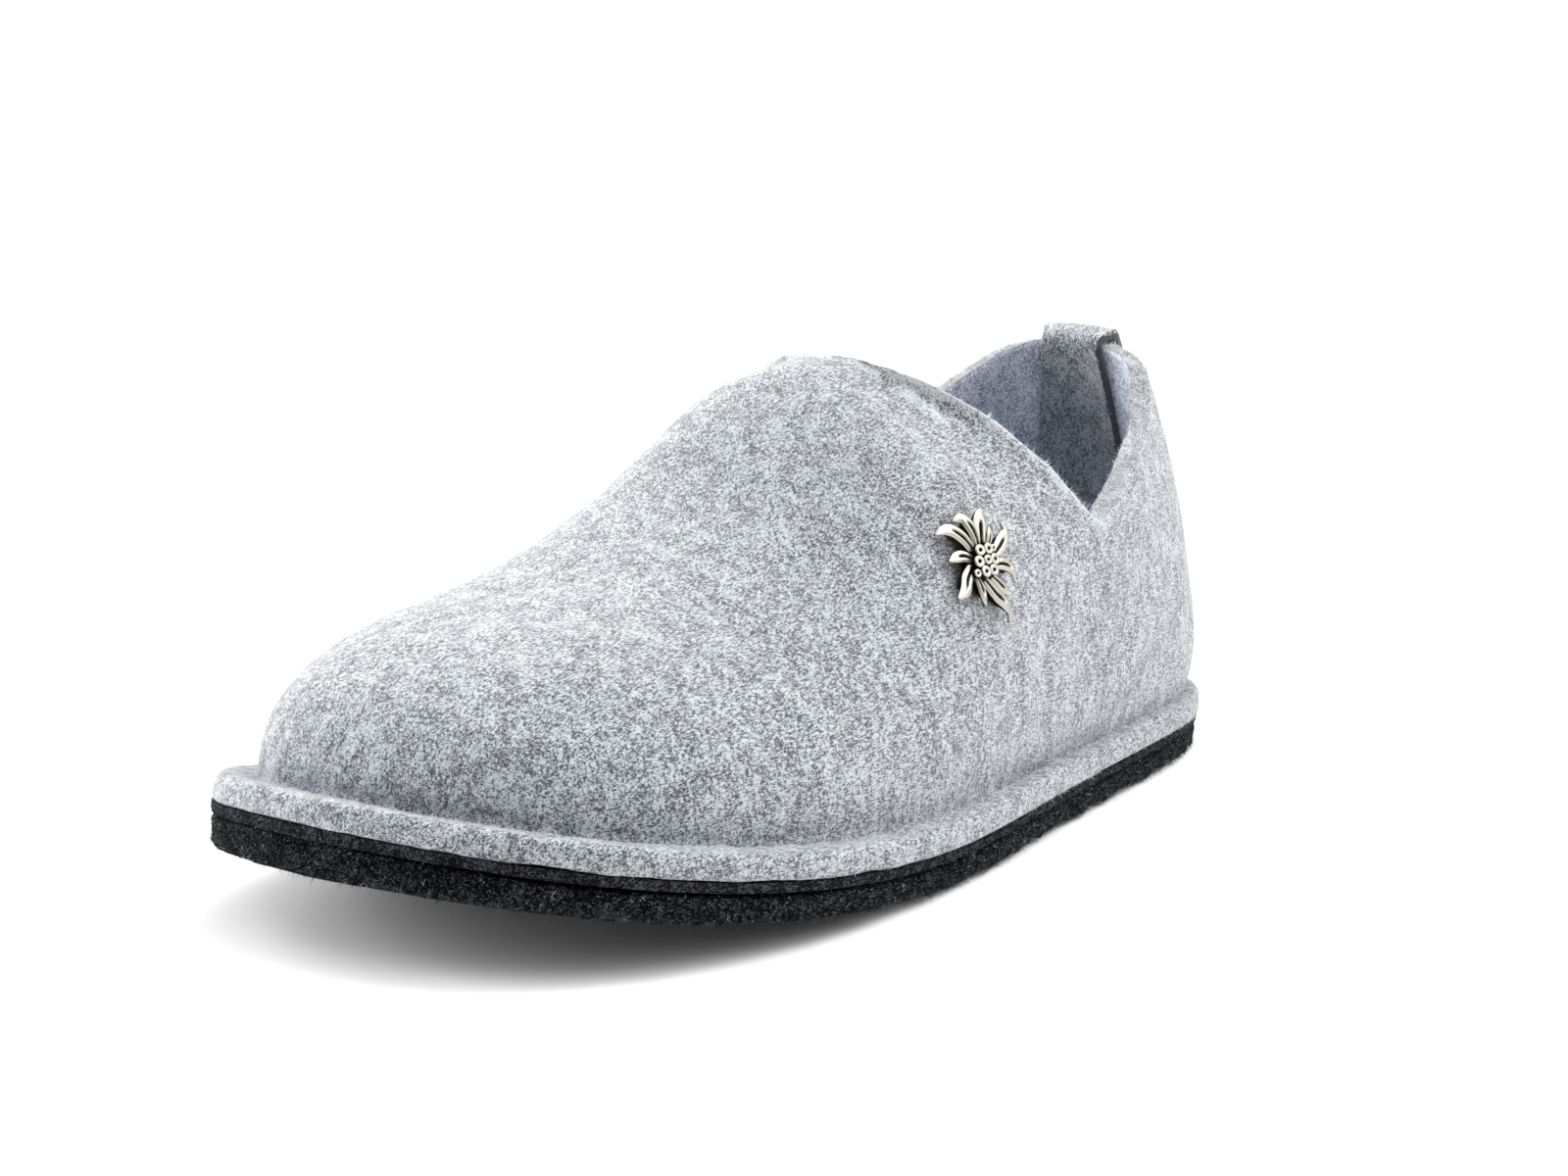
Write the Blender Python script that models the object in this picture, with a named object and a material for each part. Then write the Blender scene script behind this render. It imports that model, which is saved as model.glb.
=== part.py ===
# A house slipper for the left foot: a moulded felt shell on a felt midsole and a felt outsole.
# The shoe lies along Y with the toe towards -Y, the outer side of the foot towards +X, and Z up.
import math

import bmesh
import bpy
import numpy as np
from mathutils import Vector

# Main sizes, in metres
LENGTH = 0.271
BALL_WIDTH = 0.1056
INSTEP_HEIGHT = 0.0905
HEEL_HEIGHT = 0.0880
NOTCH_HEIGHT = 0.0575

# Layers under the foot, in metres
OUTSOLE = 0.0060
MIDSOLE = 0.0015
INSOLE = 0.0030
GAP = 0.0003
OUTSOLE_INSET = 0.0010
MIDSOLE_INSET = 0.0003
EDGE_ROUND = 0.0009

# The moulded shell, in metres
WALL = 0.0035
FLANGE_THICK = 0.0049
FLANGE_AT_HEEL = 0.0031
FLANGE_AT_TOE = 0.0072
FLANGE_ROUND = 0.0019
CREASE_AT_HEEL = 0.0019
CREASE_AT_TOE = 0.0008
CREASE_REACH = 0.0050

# Toe spring: the whole shoe is bent up from this share of its length
SPRING = 0.0155
SPRING_START = 0.55
SPRING_CURVE = 1.80

# Places along the foot, as shares of the length from the heel
HEEL_CENTRE = 0.145
NOTCH = 0.299
THROAT = 0.436
THROAT_FOOT = 0.47
TOE_CENTRE = 0.815
THROAT_BOW = 0.87

# The folded strip at the back of the collar, in metres
STRIP_WIDTH = 0.0280
STRIP_THICK = 0.0019
STRIP_INSIDE = 0.0500
STRIP_OUTSIDE = 0.0300

# The metal flower on the outer side, in metres
FLOWER_SIZE = 0.0240
FLOWER_THICK = 0.0018
FLOWER_ALONG = 0.489
FLOWER_HEIGHT = 0.0555

# Outline of the flange seen from above: shares of the length, then of the ball width from the centre line
OUTLINE = [
    {"along": 0.000, "lateral": -0.010, "medial": -0.010},
    {"along": 0.012, "lateral": 0.150, "medial": -0.165},
    {"along": 0.048, "lateral": 0.282, "medial": -0.280},
    {"along": 0.110, "lateral": 0.353, "medial": -0.337},
    {"along": 0.174, "lateral": 0.380, "medial": -0.355},
    {"along": 0.260, "lateral": 0.404, "medial": -0.360},
    {"along": 0.347, "lateral": 0.427, "medial": -0.362},
    {"along": 0.430, "lateral": 0.452, "medial": -0.374},
    {"along": 0.515, "lateral": 0.480, "medial": -0.400},
    {"along": 0.600, "lateral": 0.497, "medial": -0.447},
    {"along": 0.685, "lateral": 0.500, "medial": -0.492},
    {"along": 0.760, "lateral": 0.484, "medial": -0.500},
    {"along": 0.835, "lateral": 0.441, "medial": -0.487},
    {"along": 0.900, "lateral": 0.371, "medial": -0.448},
    {"along": 0.950, "lateral": 0.276, "medial": -0.388},
    {"along": 0.986, "lateral": 0.115, "medial": -0.285},
    {"along": 1.000, "lateral": -0.088, "medial": -0.088},
]

# Sections of the last: height of the ridge as a share of the instep height, place of the ridge
# as a share of the ball width, and how square each side is
SECTIONS = [
    {"along": 0.000, "height": 1.260, "ridge": -0.015, "lateral": 1.62, "medial": 1.62},
    {"along": 0.145, "height": 1.260, "ridge": -0.015, "lateral": 1.66, "medial": 1.60},
    {"along": 0.299, "height": 1.120, "ridge": -0.020, "lateral": 2.45, "medial": 2.25},
    {"along": 0.436, "height": 0.990, "ridge": -0.060, "lateral": 2.40, "medial": 2.60},
    {"along": 0.480, "height": 0.978, "ridge": -0.075, "lateral": 2.35, "medial": 2.65},
    {"along": 0.530, "height": 0.895, "ridge": -0.090, "lateral": 2.30, "medial": 2.45},
    {"along": 0.620, "height": 0.735, "ridge": -0.110, "lateral": 2.25, "medial": 2.40},
    {"along": 0.720, "height": 0.600, "ridge": -0.120, "lateral": 2.25, "medial": 2.45},
    {"along": 0.815, "height": 0.514, "ridge": -0.115, "lateral": 2.35, "medial": 2.70},
    {"along": 1.000, "height": 0.400, "ridge": -0.100, "lateral": 2.75, "medial": 2.75},
]

# The collar behind the notch: shares of the way from the back of the heel to the notch, and of the
# rise from the notch to the top of the heel
COLLAR = [
    {"along": 0.00, "rise": 1.02},
    {"along": 0.15, "rise": 1.00},
    {"along": 0.31, "rise": 0.83},
    {"along": 0.44, "rise": 0.62},
    {"along": 0.56, "rise": 0.46},
    {"along": 0.73, "rise": 0.31},
    {"along": 0.86, "rise": 0.18},
    {"along": 1.00, "rise": 0.00},
]

# Petals of the flower: angle in degrees from the toe towards the top, length as a share of the
# flower's half size, width as a share of its length, sideways curl and how far the tip lifts
PETALS = [
    {"angle": 108, "length": 0.87, "width": 0.34, "curl": 0.05, "lift": 0.55},
    {"angle": 57, "length": 0.88, "width": 0.30, "curl": -0.15, "lift": 0.40},
    {"angle": 42, "length": 1.18, "width": 0.26, "curl": -0.25, "lift": 0.60},
    {"angle": 24, "length": 0.98, "width": 0.28, "curl": -0.26, "lift": 0.55},
    {"angle": 324, "length": 1.06, "width": 0.28, "curl": 0.25, "lift": 0.60},
    {"angle": 302, "length": 0.74, "width": 0.26, "curl": 0.02, "lift": 0.25},
    {"angle": 249, "length": 1.02, "width": 0.32, "curl": 0.18, "lift": 0.50},
    {"angle": 222, "length": 0.84, "width": 0.26, "curl": 0.08, "lift": 0.30},
    {"angle": 192, "length": 0.84, "width": 0.34, "curl": 0.28, "lift": 0.55},
    {"angle": 165, "length": 1.04, "width": 0.32, "curl": -0.25, "lift": 0.65},
    {"angle": 131, "length": 0.70, "width": 0.24, "curl": 0.02, "lift": 0.20},
]

# Counts of facets
SPLINE_STEPS = 24
LADDER_STEPS = 44
HEEL_FAN = 12
TOE_FAN = 9
HEEL_SIDE = 6
THROAT_SIDE = 9
VAMP_SIDE = 12
WALL_ROWS = 13

# Colours as linear values
PALE_FELT = (0.62, 0.64, 0.68, 1.0)
DARK_FELT = (0.035, 0.037, 0.042, 1.0)
MID_FELT = (0.10, 0.105, 0.115, 1.0)
SILVER = (0.62, 0.60, 0.56, 1.0)


def clear_scene():
    for item in list(bpy.data.objects):
        bpy.data.objects.remove(item, do_unlink=True)


def material(name, colour, roughness, metallic=0.0):
    made = bpy.data.materials.new(name)
    made.use_nodes = True
    shader = made.node_tree.nodes["Principled BSDF"]
    shader.inputs["Base Color"].default_value = colour
    shader.inputs["Roughness"].default_value = roughness
    shader.inputs["Metallic"].default_value = metallic
    made.diffuse_color = colour
    return made


def smooth_value(rows, column, along):
    # A smooth curve through the rows of a table, held level past its two ends
    places = [row["along"] for row in rows]
    values = [row[column] for row in rows]
    if along <= places[0]:
        return values[0]
    if along >= places[-1]:
        return values[-1]
    last = len(rows) - 1
    k = max(i for i in range(last) if places[i] <= along)
    slopes = []
    for i in (k, k + 1):
        before = max(i - 1, 0)
        after = min(i + 1, last)
        slopes.append((values[after] - values[before]) / (places[after] - places[before]))
    span = places[k + 1] - places[k]
    t = (along - places[k]) / span
    rise = values[k + 1] - values[k]
    start = slopes[0] * span
    end = slopes[1] * span
    return values[k] + t * (start + t * ((3 * rise - 2 * start - end) + t * (start + end - 2 * rise)))


def closed_curve(points, steps):
    # A closed smooth curve through the points, with chord lengths as its knots
    count = len(points)
    curve = []
    for i in range(count):
        p0, p1, p2, p3 = (points[(i + k - 1) % count] for k in range(4))
        k1 = math.dist(p0, p1) ** 0.5
        k2 = k1 + math.dist(p1, p2) ** 0.5
        k3 = k2 + math.dist(p2, p3) ** 0.5
        for step in range(steps):
            k = k1 + (k2 - k1) * step / steps
            place = []
            for a, b, c, d in zip(p0, p1, p2, p3):
                ab = a + (b - a) * k / k1
                bc = b + (c - b) * (k - k1) / (k2 - k1)
                cd = c + (d - c) * (k - k2) / (k3 - k2)
                abc = ab + (bc - ab) * k / k2
                bcd = bc + (cd - bc) * (k - k1) / (k3 - k1)
                place.append(abc + (bcd - abc) * (k - k1) / (k2 - k1))
            curve.append(place)
    return np.array(curve)


def flange_outline():
    # Points (across, along) from the back of the heel up the outer side and back down the inner side
    rows = OUTLINE
    points = [(r["lateral"] * BALL_WIDTH, r["along"] * LENGTH) for r in rows]
    points += [(r["medial"] * BALL_WIDTH, r["along"] * LENGTH) for r in reversed(rows[1:-1])]
    return closed_curve(points, SPLINE_STEPS)


def inset_curve(curve, distance):
    # Moves each point inwards along the curve's own normal; the distance may differ by point
    ahead = np.roll(curve, -1, axis=0)
    behind = np.roll(curve, 1, axis=0)
    tangent = ahead - behind
    tangent /= np.linalg.norm(tangent, axis=1)[:, None]
    inward = np.stack([-tangent[:, 1], tangent[:, 0]], axis=1)
    amount = np.broadcast_to(distance, len(curve))
    return curve + inward * amount[:, None]


def heel_to_toe(at_heel, at_toe, along):
    # A value that eases from its size at the heel to its size at the toe
    share = min(max(along / LENGTH, 0.0), 1.0)
    share = share * share * (3.0 - 2.0 * share)
    return at_heel + (at_toe - at_heel) * share


EDGE = flange_outline()
FOOT = inset_curve(EDGE, np.array([heel_to_toe(FLANGE_AT_HEEL, FLANGE_AT_TOE, y) for _x, y in EDGE]))


def side_at(curve, along, outer):
    # Where one side of a closed curve crosses the given distance along the foot
    top = int(np.argmax(curve[:, 1]))
    low = int(np.argmin(curve[:, 1]))
    rolled = np.roll(curve, -low, axis=0)
    tip = (top - low) % len(curve)
    half = rolled[:tip + 1] if outer else np.vstack([rolled[tip:], rolled[:1]])[::-1]
    return float(np.interp(along, half[:, 1], half[:, 0]))


def toward(curve, centre, angle):
    # Where a ray from the centre, at an angle from the outer side towards the toe, meets the curve
    offset = curve - np.array(centre)
    direction = np.array([math.cos(angle), math.sin(angle)])
    along = offset @ direction
    across = offset[:, 1] * direction[0] - offset[:, 0] * direction[1]
    following = np.roll(across, -1)
    crossing = np.where((across * following <= 0) & (along > 0))[0]
    k = int(crossing[0])
    share = across[k] / (across[k] - following[k])
    return curve[k] + (np.roll(curve, -1, axis=0)[k] - curve[k]) * share


def spring_height(along):
    share = max(along / LENGTH - SPRING_START, 0.0) / (1.0 - SPRING_START)
    return SPRING * share ** SPRING_CURVE


def spring_slope(along):
    share = max(along / LENGTH - SPRING_START, 0.0) / (1.0 - SPRING_START)
    return SPRING * SPRING_CURVE * share ** (SPRING_CURVE - 1.0) / (LENGTH * (1.0 - SPRING_START))


def bent(across, along, height):
    # From the flat shoe to the shoe with its toe sprung
    angle = math.atan(spring_slope(along))
    back = along - height * math.sin(angle)
    up = spring_height(along) + height * math.cos(angle)
    return (across, 0.5 * (LENGTH - OUTSOLE_INSET) - back, up)


FLANGE_LOW = OUTSOLE + GAP + MIDSOLE + GAP
FLANGE_TOP = FLANGE_LOW + FLANGE_THICK


def ridge_height(along):
    return smooth_value(SECTIONS, "height", along / LENGTH) * INSTEP_HEIGHT


def ridge_place(along):
    return smooth_value(SECTIONS, "ridge", along / LENGTH) * BALL_WIDTH


def squareness(along, side):
    return smooth_value(SECTIONS, side, along / LENGTH)


def wall_swell(along, height):
    # How far the wall swells out past its crease a little above the flange
    share = (height - FLANGE_TOP) / CREASE_REACH
    depth = heel_to_toe(CREASE_AT_HEEL, CREASE_AT_TOE, along)
    return depth * (1.0 - math.exp(-share * share))


def skin_point(centre, foot, square, apex, climb, turn):
    # One point of the shell's outer skin on the line from the centre to the foot of the wall
    reach = max(math.cos(turn), 0.0) ** (2.0 / square)
    rise = math.sin(turn) ** (2.0 / square)
    line = np.array(foot) - np.array(centre)
    distance = float(np.linalg.norm(line))
    line /= distance
    along = centre[1] + line[1] * distance * reach
    top = apex + climb * (along - centre[1])
    height = FLANGE_TOP + (top - FLANGE_TOP) * rise
    swell = wall_swell(foot[1], height) * reach
    place = np.array(centre) + line * (distance * reach + swell)
    return np.array([place[0], place[1], height])


def collar_height(along):
    rise = smooth_value(COLLAR, "rise", along / (NOTCH * LENGTH))
    return NOTCH_HEIGHT + rise * (HEEL_HEIGHT - NOTCH_HEIGHT)


def even_rows(trace):
    # The given number of rows at even distances along a traced line
    steps = np.linalg.norm(np.diff(trace, axis=0), axis=1)
    length = np.concatenate([[0.0], np.cumsum(steps)])
    wanted = np.linspace(0.0, length[-1], WALL_ROWS)
    return np.stack([np.interp(wanted, length, trace[:, k]) for k in range(3)], axis=1)


def fan_line(centre, angle, apex, climb, side, end):
    # A line of the skin in one of the two rounded ends, up to the top or to the collar
    foot = toward(FOOT, centre, angle)
    square = squareness(foot[1], side)
    trace = []
    for turn in np.linspace(0.0, math.pi * 0.5, 61):
        point = skin_point(centre, foot, square, apex, climb, turn)
        if end == "collar" and point[2] > collar_height(point[1]):
            break
        trace.append(point)
    if end == "collar":
        low = turn - math.pi / 120.0
        high = turn
        for _ in range(30):
            middle = 0.5 * (low + high)
            point = skin_point(centre, foot, square, apex, climb, middle)
            if point[2] > collar_height(point[1]):
                high = middle
            else:
                low = middle
        trace.append(skin_point(centre, foot, square, apex, climb, low))
    return {"edge": toward(EDGE, centre, angle), "foot": foot, "skin": even_rows(np.array(trace))}


def side_line(foot_along, top_along, top_turn, side):
    # A line of the skin up one side, from its foot to its top place along the shoe
    outer = side == "lateral"
    trace = []
    for share in np.linspace(0.0, 1.0, 49):
        along = foot_along + (top_along - foot_along) * share * share * (3.0 - 2.0 * share)
        centre = (ridge_place(along), along)
        foot = (side_at(FOOT, along, outer), along)
        square = squareness(along, side)
        trace.append(skin_point(centre, foot, square, ridge_height(along), 0.0, top_turn * share))
    edge = np.array([side_at(EDGE, foot_along, outer), foot_along])
    foot = np.array([side_at(FOOT, foot_along, outer), foot_along])
    return {"edge": edge, "foot": foot, "skin": even_rows(np.array(trace))}


def turn_at(height, along, side):
    # The turn of a section at which the skin reaches a height
    share = (height - FLANGE_TOP) / (ridge_height(along) - FLANGE_TOP)
    return math.asin(min(share, 1.0) ** (squareness(along, side) * 0.5))


def side_lines(side):
    # All the lines of one side from the heel fan to the toe fan
    lines = []
    start = HEEL_CENTRE * LENGTH
    notch = NOTCH * LENGTH
    throat = THROAT * LENGTH
    throat_foot = THROAT_FOOT * LENGTH
    toe = TOE_CENTRE * LENGTH
    for k in range(1, HEEL_SIDE):
        along = start + (notch - start) * k / HEEL_SIDE
        lines.append(side_line(along, along, turn_at(collar_height(along), along, side), side))
    for k in range(THROAT_SIDE):
        share = k / THROAT_SIDE
        rise = math.sin(math.pi * 0.5 * share) ** 1.2
        top = notch + (throat - notch) * rise ** THROAT_BOW
        height = NOTCH_HEIGHT + (ridge_height(throat) - NOTCH_HEIGHT) * rise
        foot = notch + (throat_foot - notch) * share
        lines.append(side_line(foot, top, turn_at(height, top, side), side))
    for k in range(VAMP_SIDE):
        share = k / VAMP_SIDE
        foot = throat_foot + (toe - throat_foot) * share
        top = throat + (toe - throat) * share
        lines.append(side_line(foot, top, math.pi * 0.5, side))
    return lines


def shell_lines():
    # The lines of the whole shell: round the heel, up the outer side, round the toe, back down
    heel = (ridge_place(HEEL_CENTRE * LENGTH), HEEL_CENTRE * LENGTH)
    toe = (ridge_place(TOE_CENTRE * LENGTH), TOE_CENTRE * LENGTH)
    heel_top = ridge_height(heel[1])
    toe_top = ridge_height(toe[1])
    step = 0.001
    fall = (ridge_height(toe[1]) - ridge_height(toe[1] - step)) / step
    lines = []
    for k in range(HEEL_FAN + 1):
        angle = math.pi * (-0.5 + 0.5 * k / HEEL_FAN)
        lines.append(fan_line(heel, angle, heel_top, 0.0, "lateral", "collar"))
    lines += side_lines("lateral")
    for k in range(2 * TOE_FAN + 1):
        side = "lateral" if k <= TOE_FAN else "medial"
        lines.append(fan_line(toe, math.pi * 0.5 * k / TOE_FAN, toe_top, fall, side, "apex"))
    lines += list(reversed(side_lines("medial")))
    for k in range(HEEL_FAN):
        angle = math.pi * (1.0 + 0.5 * k / HEEL_FAN)
        lines.append(fan_line(heel, angle, heel_top, 0.0, "medial", "collar"))
    return lines


def finish(name, mesh_maker, paint, bend=True, angle=35.0):
    # Turns a bmesh into a named object with its material
    mesh_maker.normal_update()
    if bend:
        for vertex in mesh_maker.verts:
            vertex.co = Vector(bent(*vertex.co))
    bmesh.ops.recalc_face_normals(mesh_maker, faces=mesh_maker.faces)
    if mesh_maker.calc_volume(signed=True) < 0.0:
        bmesh.ops.reverse_faces(mesh_maker, faces=mesh_maker.faces)
    mesh = bpy.data.meshes.new(name)
    mesh_maker.to_mesh(mesh)
    mesh_maker.free()
    made = bpy.data.objects.new(name, mesh)
    bpy.context.scene.collection.objects.link(made)
    mesh.materials.append(paint)
    mesh.shade_smooth()
    mesh.set_sharp_from_angle(angle=math.radians(angle))
    return made


def rows_of_faces(maker, rows, closed=True):
    # Quads between neighbouring rows of vertices
    for lower, upper in zip(rows[:-1], rows[1:]):
        count = len(lower)
        for k in range(count if closed else count - 1):
            following = (k + 1) % count
            ring = [lower[k], lower[following], upper[following], upper[k]]
            distinct = []
            for vertex in ring:
                if vertex not in distinct:
                    distinct.append(vertex)
            if len(distinct) > 2:
                maker.faces.new(distinct)


def build_upper(paint, lines):
    maker = bmesh.new()
    count = len(lines)

    # Outer skin: lines that end on the ridge or the toe's apex share their last vertex
    skin = []
    shared = {}
    for row in range(WALL_ROWS):
        ring = []
        for line in lines:
            place = tuple(line["skin"][row])
            key = tuple(round(value, 6) for value in place)
            if row == WALL_ROWS - 1 and key in shared:
                ring.append(shared[key])
                continue
            vertex = maker.verts.new(place)
            if row == WALL_ROWS - 1:
                shared[key] = vertex
            ring.append(vertex)
        skin.append(ring)
    rows_of_faces(maker, skin)
    bmesh.ops.recalc_face_normals(maker, faces=maker.faces)
    maker.normal_update()
    middle = skin[2][0]
    if middle.normal.y > 0.0:
        bmesh.ops.reverse_faces(maker, faces=list(maker.faces))
        maker.normal_update()

    # Inner skin: the outer one moved in by the thickness of the felt
    inner = {}
    for ring in skin[1:]:
        for vertex in ring:
            if vertex not in inner:
                inner[vertex] = vertex.co - vertex.normal * WALL
    inside = []
    made = {}
    for ring in skin[1:]:
        copy = []
        for vertex in ring:
            if vertex not in made:
                made[vertex] = maker.verts.new(inner[vertex])
            copy.append(made[vertex])
        inside.append(copy)
    rows_of_faces(maker, inside)

    # The rim of the collar joins both skins where the last row is open
    for k in range(count):
        following = (k + 1) % count
        a = skin[-1][k]
        b = skin[-1][following]
        if a is b:
            continue
        seam = [edge for edge in a.link_edges if edge.other_vert(a) is b]
        if len(seam[0].link_faces) == 1:
            maker.faces.new([a, b, made[b], made[a]])

    # The turned-out base: underside, cut edge, rounded top and the crease
    profile = [
        (0.0, FLANGE_LOW, 0.0004),
        (0.0, FLANGE_LOW + 0.0004, 0.0),
        (0.0, FLANGE_TOP - FLANGE_ROUND, 0.0),
        (0.0, FLANGE_TOP - FLANGE_ROUND * 0.38, FLANGE_ROUND * 0.22),
        (0.0, FLANGE_TOP - FLANGE_ROUND * 0.08, FLANGE_ROUND * 0.62),
        (0.0, FLANGE_TOP, FLANGE_ROUND * 1.15),
        (0.62, FLANGE_TOP, 0.0),
    ]
    base = []
    for share, height, inset in profile:
        ring = []
        for line in lines:
            span = line["foot"] - line["edge"]
            width = float(np.linalg.norm(span))
            place = line["edge"] + span * (share + inset / width)
            ring.append(maker.verts.new((place[0], place[1], height)))
        base.append(ring)
    bottom = [maker.verts.new((v.co.x, v.co.y, FLANGE_LOW)) for v in inside[0]]
    rows_of_faces(maker, [inside[0], bottom] + base + [skin[0]])
    inner_line = [(v.co.x, v.co.y) for v in bottom]
    return finish("upper", maker, paint), inner_line


def ladder(name, curve, low, high, paint, edge_round):
    # A flat sheet with the outline of the curve, crossed by straight rungs so that it bends cleanly
    heel = float(curve[:, 1].min())
    toe = float(curve[:, 1].max())
    maker = bmesh.new()
    rings = []
    levels = [(low, edge_round), (low + edge_round, 0.0), (high - edge_round * 0.5, 0.0)]
    levels.append((high, edge_round * 0.5))
    for height, inset in levels:
        line = inset_curve(curve, inset)
        ends = (float(line[:, 1].min()), float(line[:, 1].max()))
        sides = ([], [])
        for k in range(1, LADDER_STEPS):
            share = 0.5 - 0.5 * math.cos(math.pi * k / LADDER_STEPS)
            along = heel + (toe - heel) * share
            along = ends[0] + (along - heel) * (ends[1] - ends[0]) / (toe - heel)
            for outer, side in zip((True, False), sides):
                side.append(maker.verts.new((side_at(line, along, outer), along, height)))
        tips = []
        for end, pick in zip(ends, (np.argmin, np.argmax)):
            place = line[int(pick(line[:, 1]))]
            tips.append(maker.verts.new((place[0], end, height)))
        rings.append([tips[0]] + sides[0] + [tips[1]] + sides[1][::-1])
    rows_of_faces(maker, rings)
    count = len(rings[0])
    for ring in (rings[0], rings[-1]):
        outer = ring[:LADDER_STEPS + 1]
        inner = [ring[0]] + ring[LADDER_STEPS:][::-1]
        for k in range(LADDER_STEPS):
            corners = [outer[k], outer[k + 1], inner[k + 1], inner[k]]
            distinct = []
            for vertex in corners:
                if vertex not in distinct:
                    distinct.append(vertex)
            maker.faces.new(distinct)
    return finish(name, maker, paint)


def heel_surface(angle, height):
    # A point of the outer skin at the back of the heel and the way out of it
    centre = (ridge_place(HEEL_CENTRE * LENGTH), HEEL_CENTRE * LENGTH)
    apex = ridge_height(centre[1])

    def place(turn_angle, level):
        foot = toward(FOOT, centre, turn_angle)
        side = "lateral" if turn_angle >= -math.pi * 0.5 else "medial"
        square = squareness(foot[1], side)
        share = min((level - FLANGE_TOP) / (apex - FLANGE_TOP), 1.0)
        turn = math.asin(share ** (square * 0.5))
        return skin_point(centre, foot, square, apex, 0.0, turn)

    point = place(angle, height)
    across = place(angle + 0.02, height) - place(angle - 0.02, height)
    up = place(angle, height + 0.0005) - place(angle, height - 0.0005)
    normal = np.cross(across, up)
    normal /= np.linalg.norm(normal)
    if normal[1] > 0.0:
        normal = -normal
    return point, normal


def build_strip(paint):
    # A strip folded over the collar: down the inside and down the outside
    radius = HEEL_CENTRE * LENGTH - FLANGE_AT_HEEL
    half = STRIP_WIDTH * 0.5 / radius
    columns = 8
    near = GAP
    far = GAP + STRIP_THICK
    maker = bmesh.new()
    sheets = []
    for k in range(columns + 1):
        angle = -math.pi * 0.5 + half * (2.0 * k / columns - 1.0)
        top = collar_top(angle)
        outline = []
        for depth, offset in strip_path(near, far):
            point, normal = heel_surface(angle, min(top - depth, top))
            lifted = point + normal * offset
            if depth < 0.0:
                lifted[2] += -depth
            outline.append(maker.verts.new(tuple(lifted)))
        sheets.append(outline)
    rows_of_faces(maker, sheets)
    maker.faces.new(sheets[0])
    maker.faces.new(sheets[-1])
    return finish("heel_strip", maker, paint)


def collar_top(angle):
    # Height at which the collar cuts the skin of the heel fan
    low = FLANGE_TOP
    high = HEEL_HEIGHT * 1.03
    for _ in range(40):
        middle = 0.5 * (low + high)
        point, _normal = heel_surface(angle, middle)
        if middle > collar_height(point[1]):
            high = middle
        else:
            low = middle
    return low


def strip_path(near, far):
    # The strip's own outline across its thickness: depth under the collar and offset from the skin
    path = []
    outside = np.linspace(STRIP_OUTSIDE, 0.0, 5)
    inside = np.linspace(0.0, STRIP_INSIDE, 7)
    path += [(depth, far) for depth in outside]
    path += [(-GAP - STRIP_THICK * 0.62, far - STRIP_THICK * 0.35)]
    path += [(-GAP - STRIP_THICK, near - STRIP_THICK * 0.2)]
    path += [(-GAP - STRIP_THICK, -WALL - near + STRIP_THICK * 0.2)]
    path += [(-GAP - STRIP_THICK * 0.62, -WALL - far + STRIP_THICK * 0.35)]
    path += [(depth, -WALL - far) for depth in inside]
    path += [(depth, -WALL - near) for depth in inside[::-1]]
    path += [(-GAP, -WALL - near)]
    path += [(-GAP, near)]
    path += [(depth, near) for depth in outside[::-1]]
    return path


def side_surface(along, height):
    # A point of the outer skin on the outer side and the way out of it
    def place(spot, level):
        centre = (ridge_place(spot), spot)
        foot = (side_at(FOOT, spot, True), spot)
        turn = turn_at(level, spot, "lateral")
        return skin_point(centre, foot, squareness(spot, "lateral"), ridge_height(spot), 0.0, turn)

    point = place(along, height)
    forward = place(along + 0.002, height) - place(along - 0.002, height)
    up = place(along, height + 0.001) - place(along, height - 0.001)
    normal = np.cross(up, forward)
    normal /= np.linalg.norm(normal)
    if normal[0] < 0.0:
        normal = -normal
    return point, forward / np.linalg.norm(forward), up / np.linalg.norm(up), normal


def build_flower(paint):
    # A cast flower: a low dome with petals round it, each a tapered blade with a raised middle
    radius = FLOWER_SIZE * 0.5
    parts = []
    dome = bmesh.new()
    rings = [(0.30, 0.0), (0.32, 0.5), (0.28, 1.15), (0.18, 1.55)]
    levels = []
    for share, lift in rings:
        ring = []
        for k in range(16):
            angle = 2.0 * math.pi * k / 16
            place = (share * radius * math.cos(angle), share * radius * math.sin(angle), lift * FLOWER_THICK)
            ring.append(dome.verts.new(place))
        levels.append(ring)
    rows_of_faces(dome, levels)
    dome.faces.new(levels[0])
    dome.faces.new(levels[-1])
    parts.append(dome)
    for petal in PETALS:
        parts.append(build_petal(petal, radius))
    made = join_parts(parts)
    wrap_flower(made)
    return finish("edelweiss", made, paint, bend=True)


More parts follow.
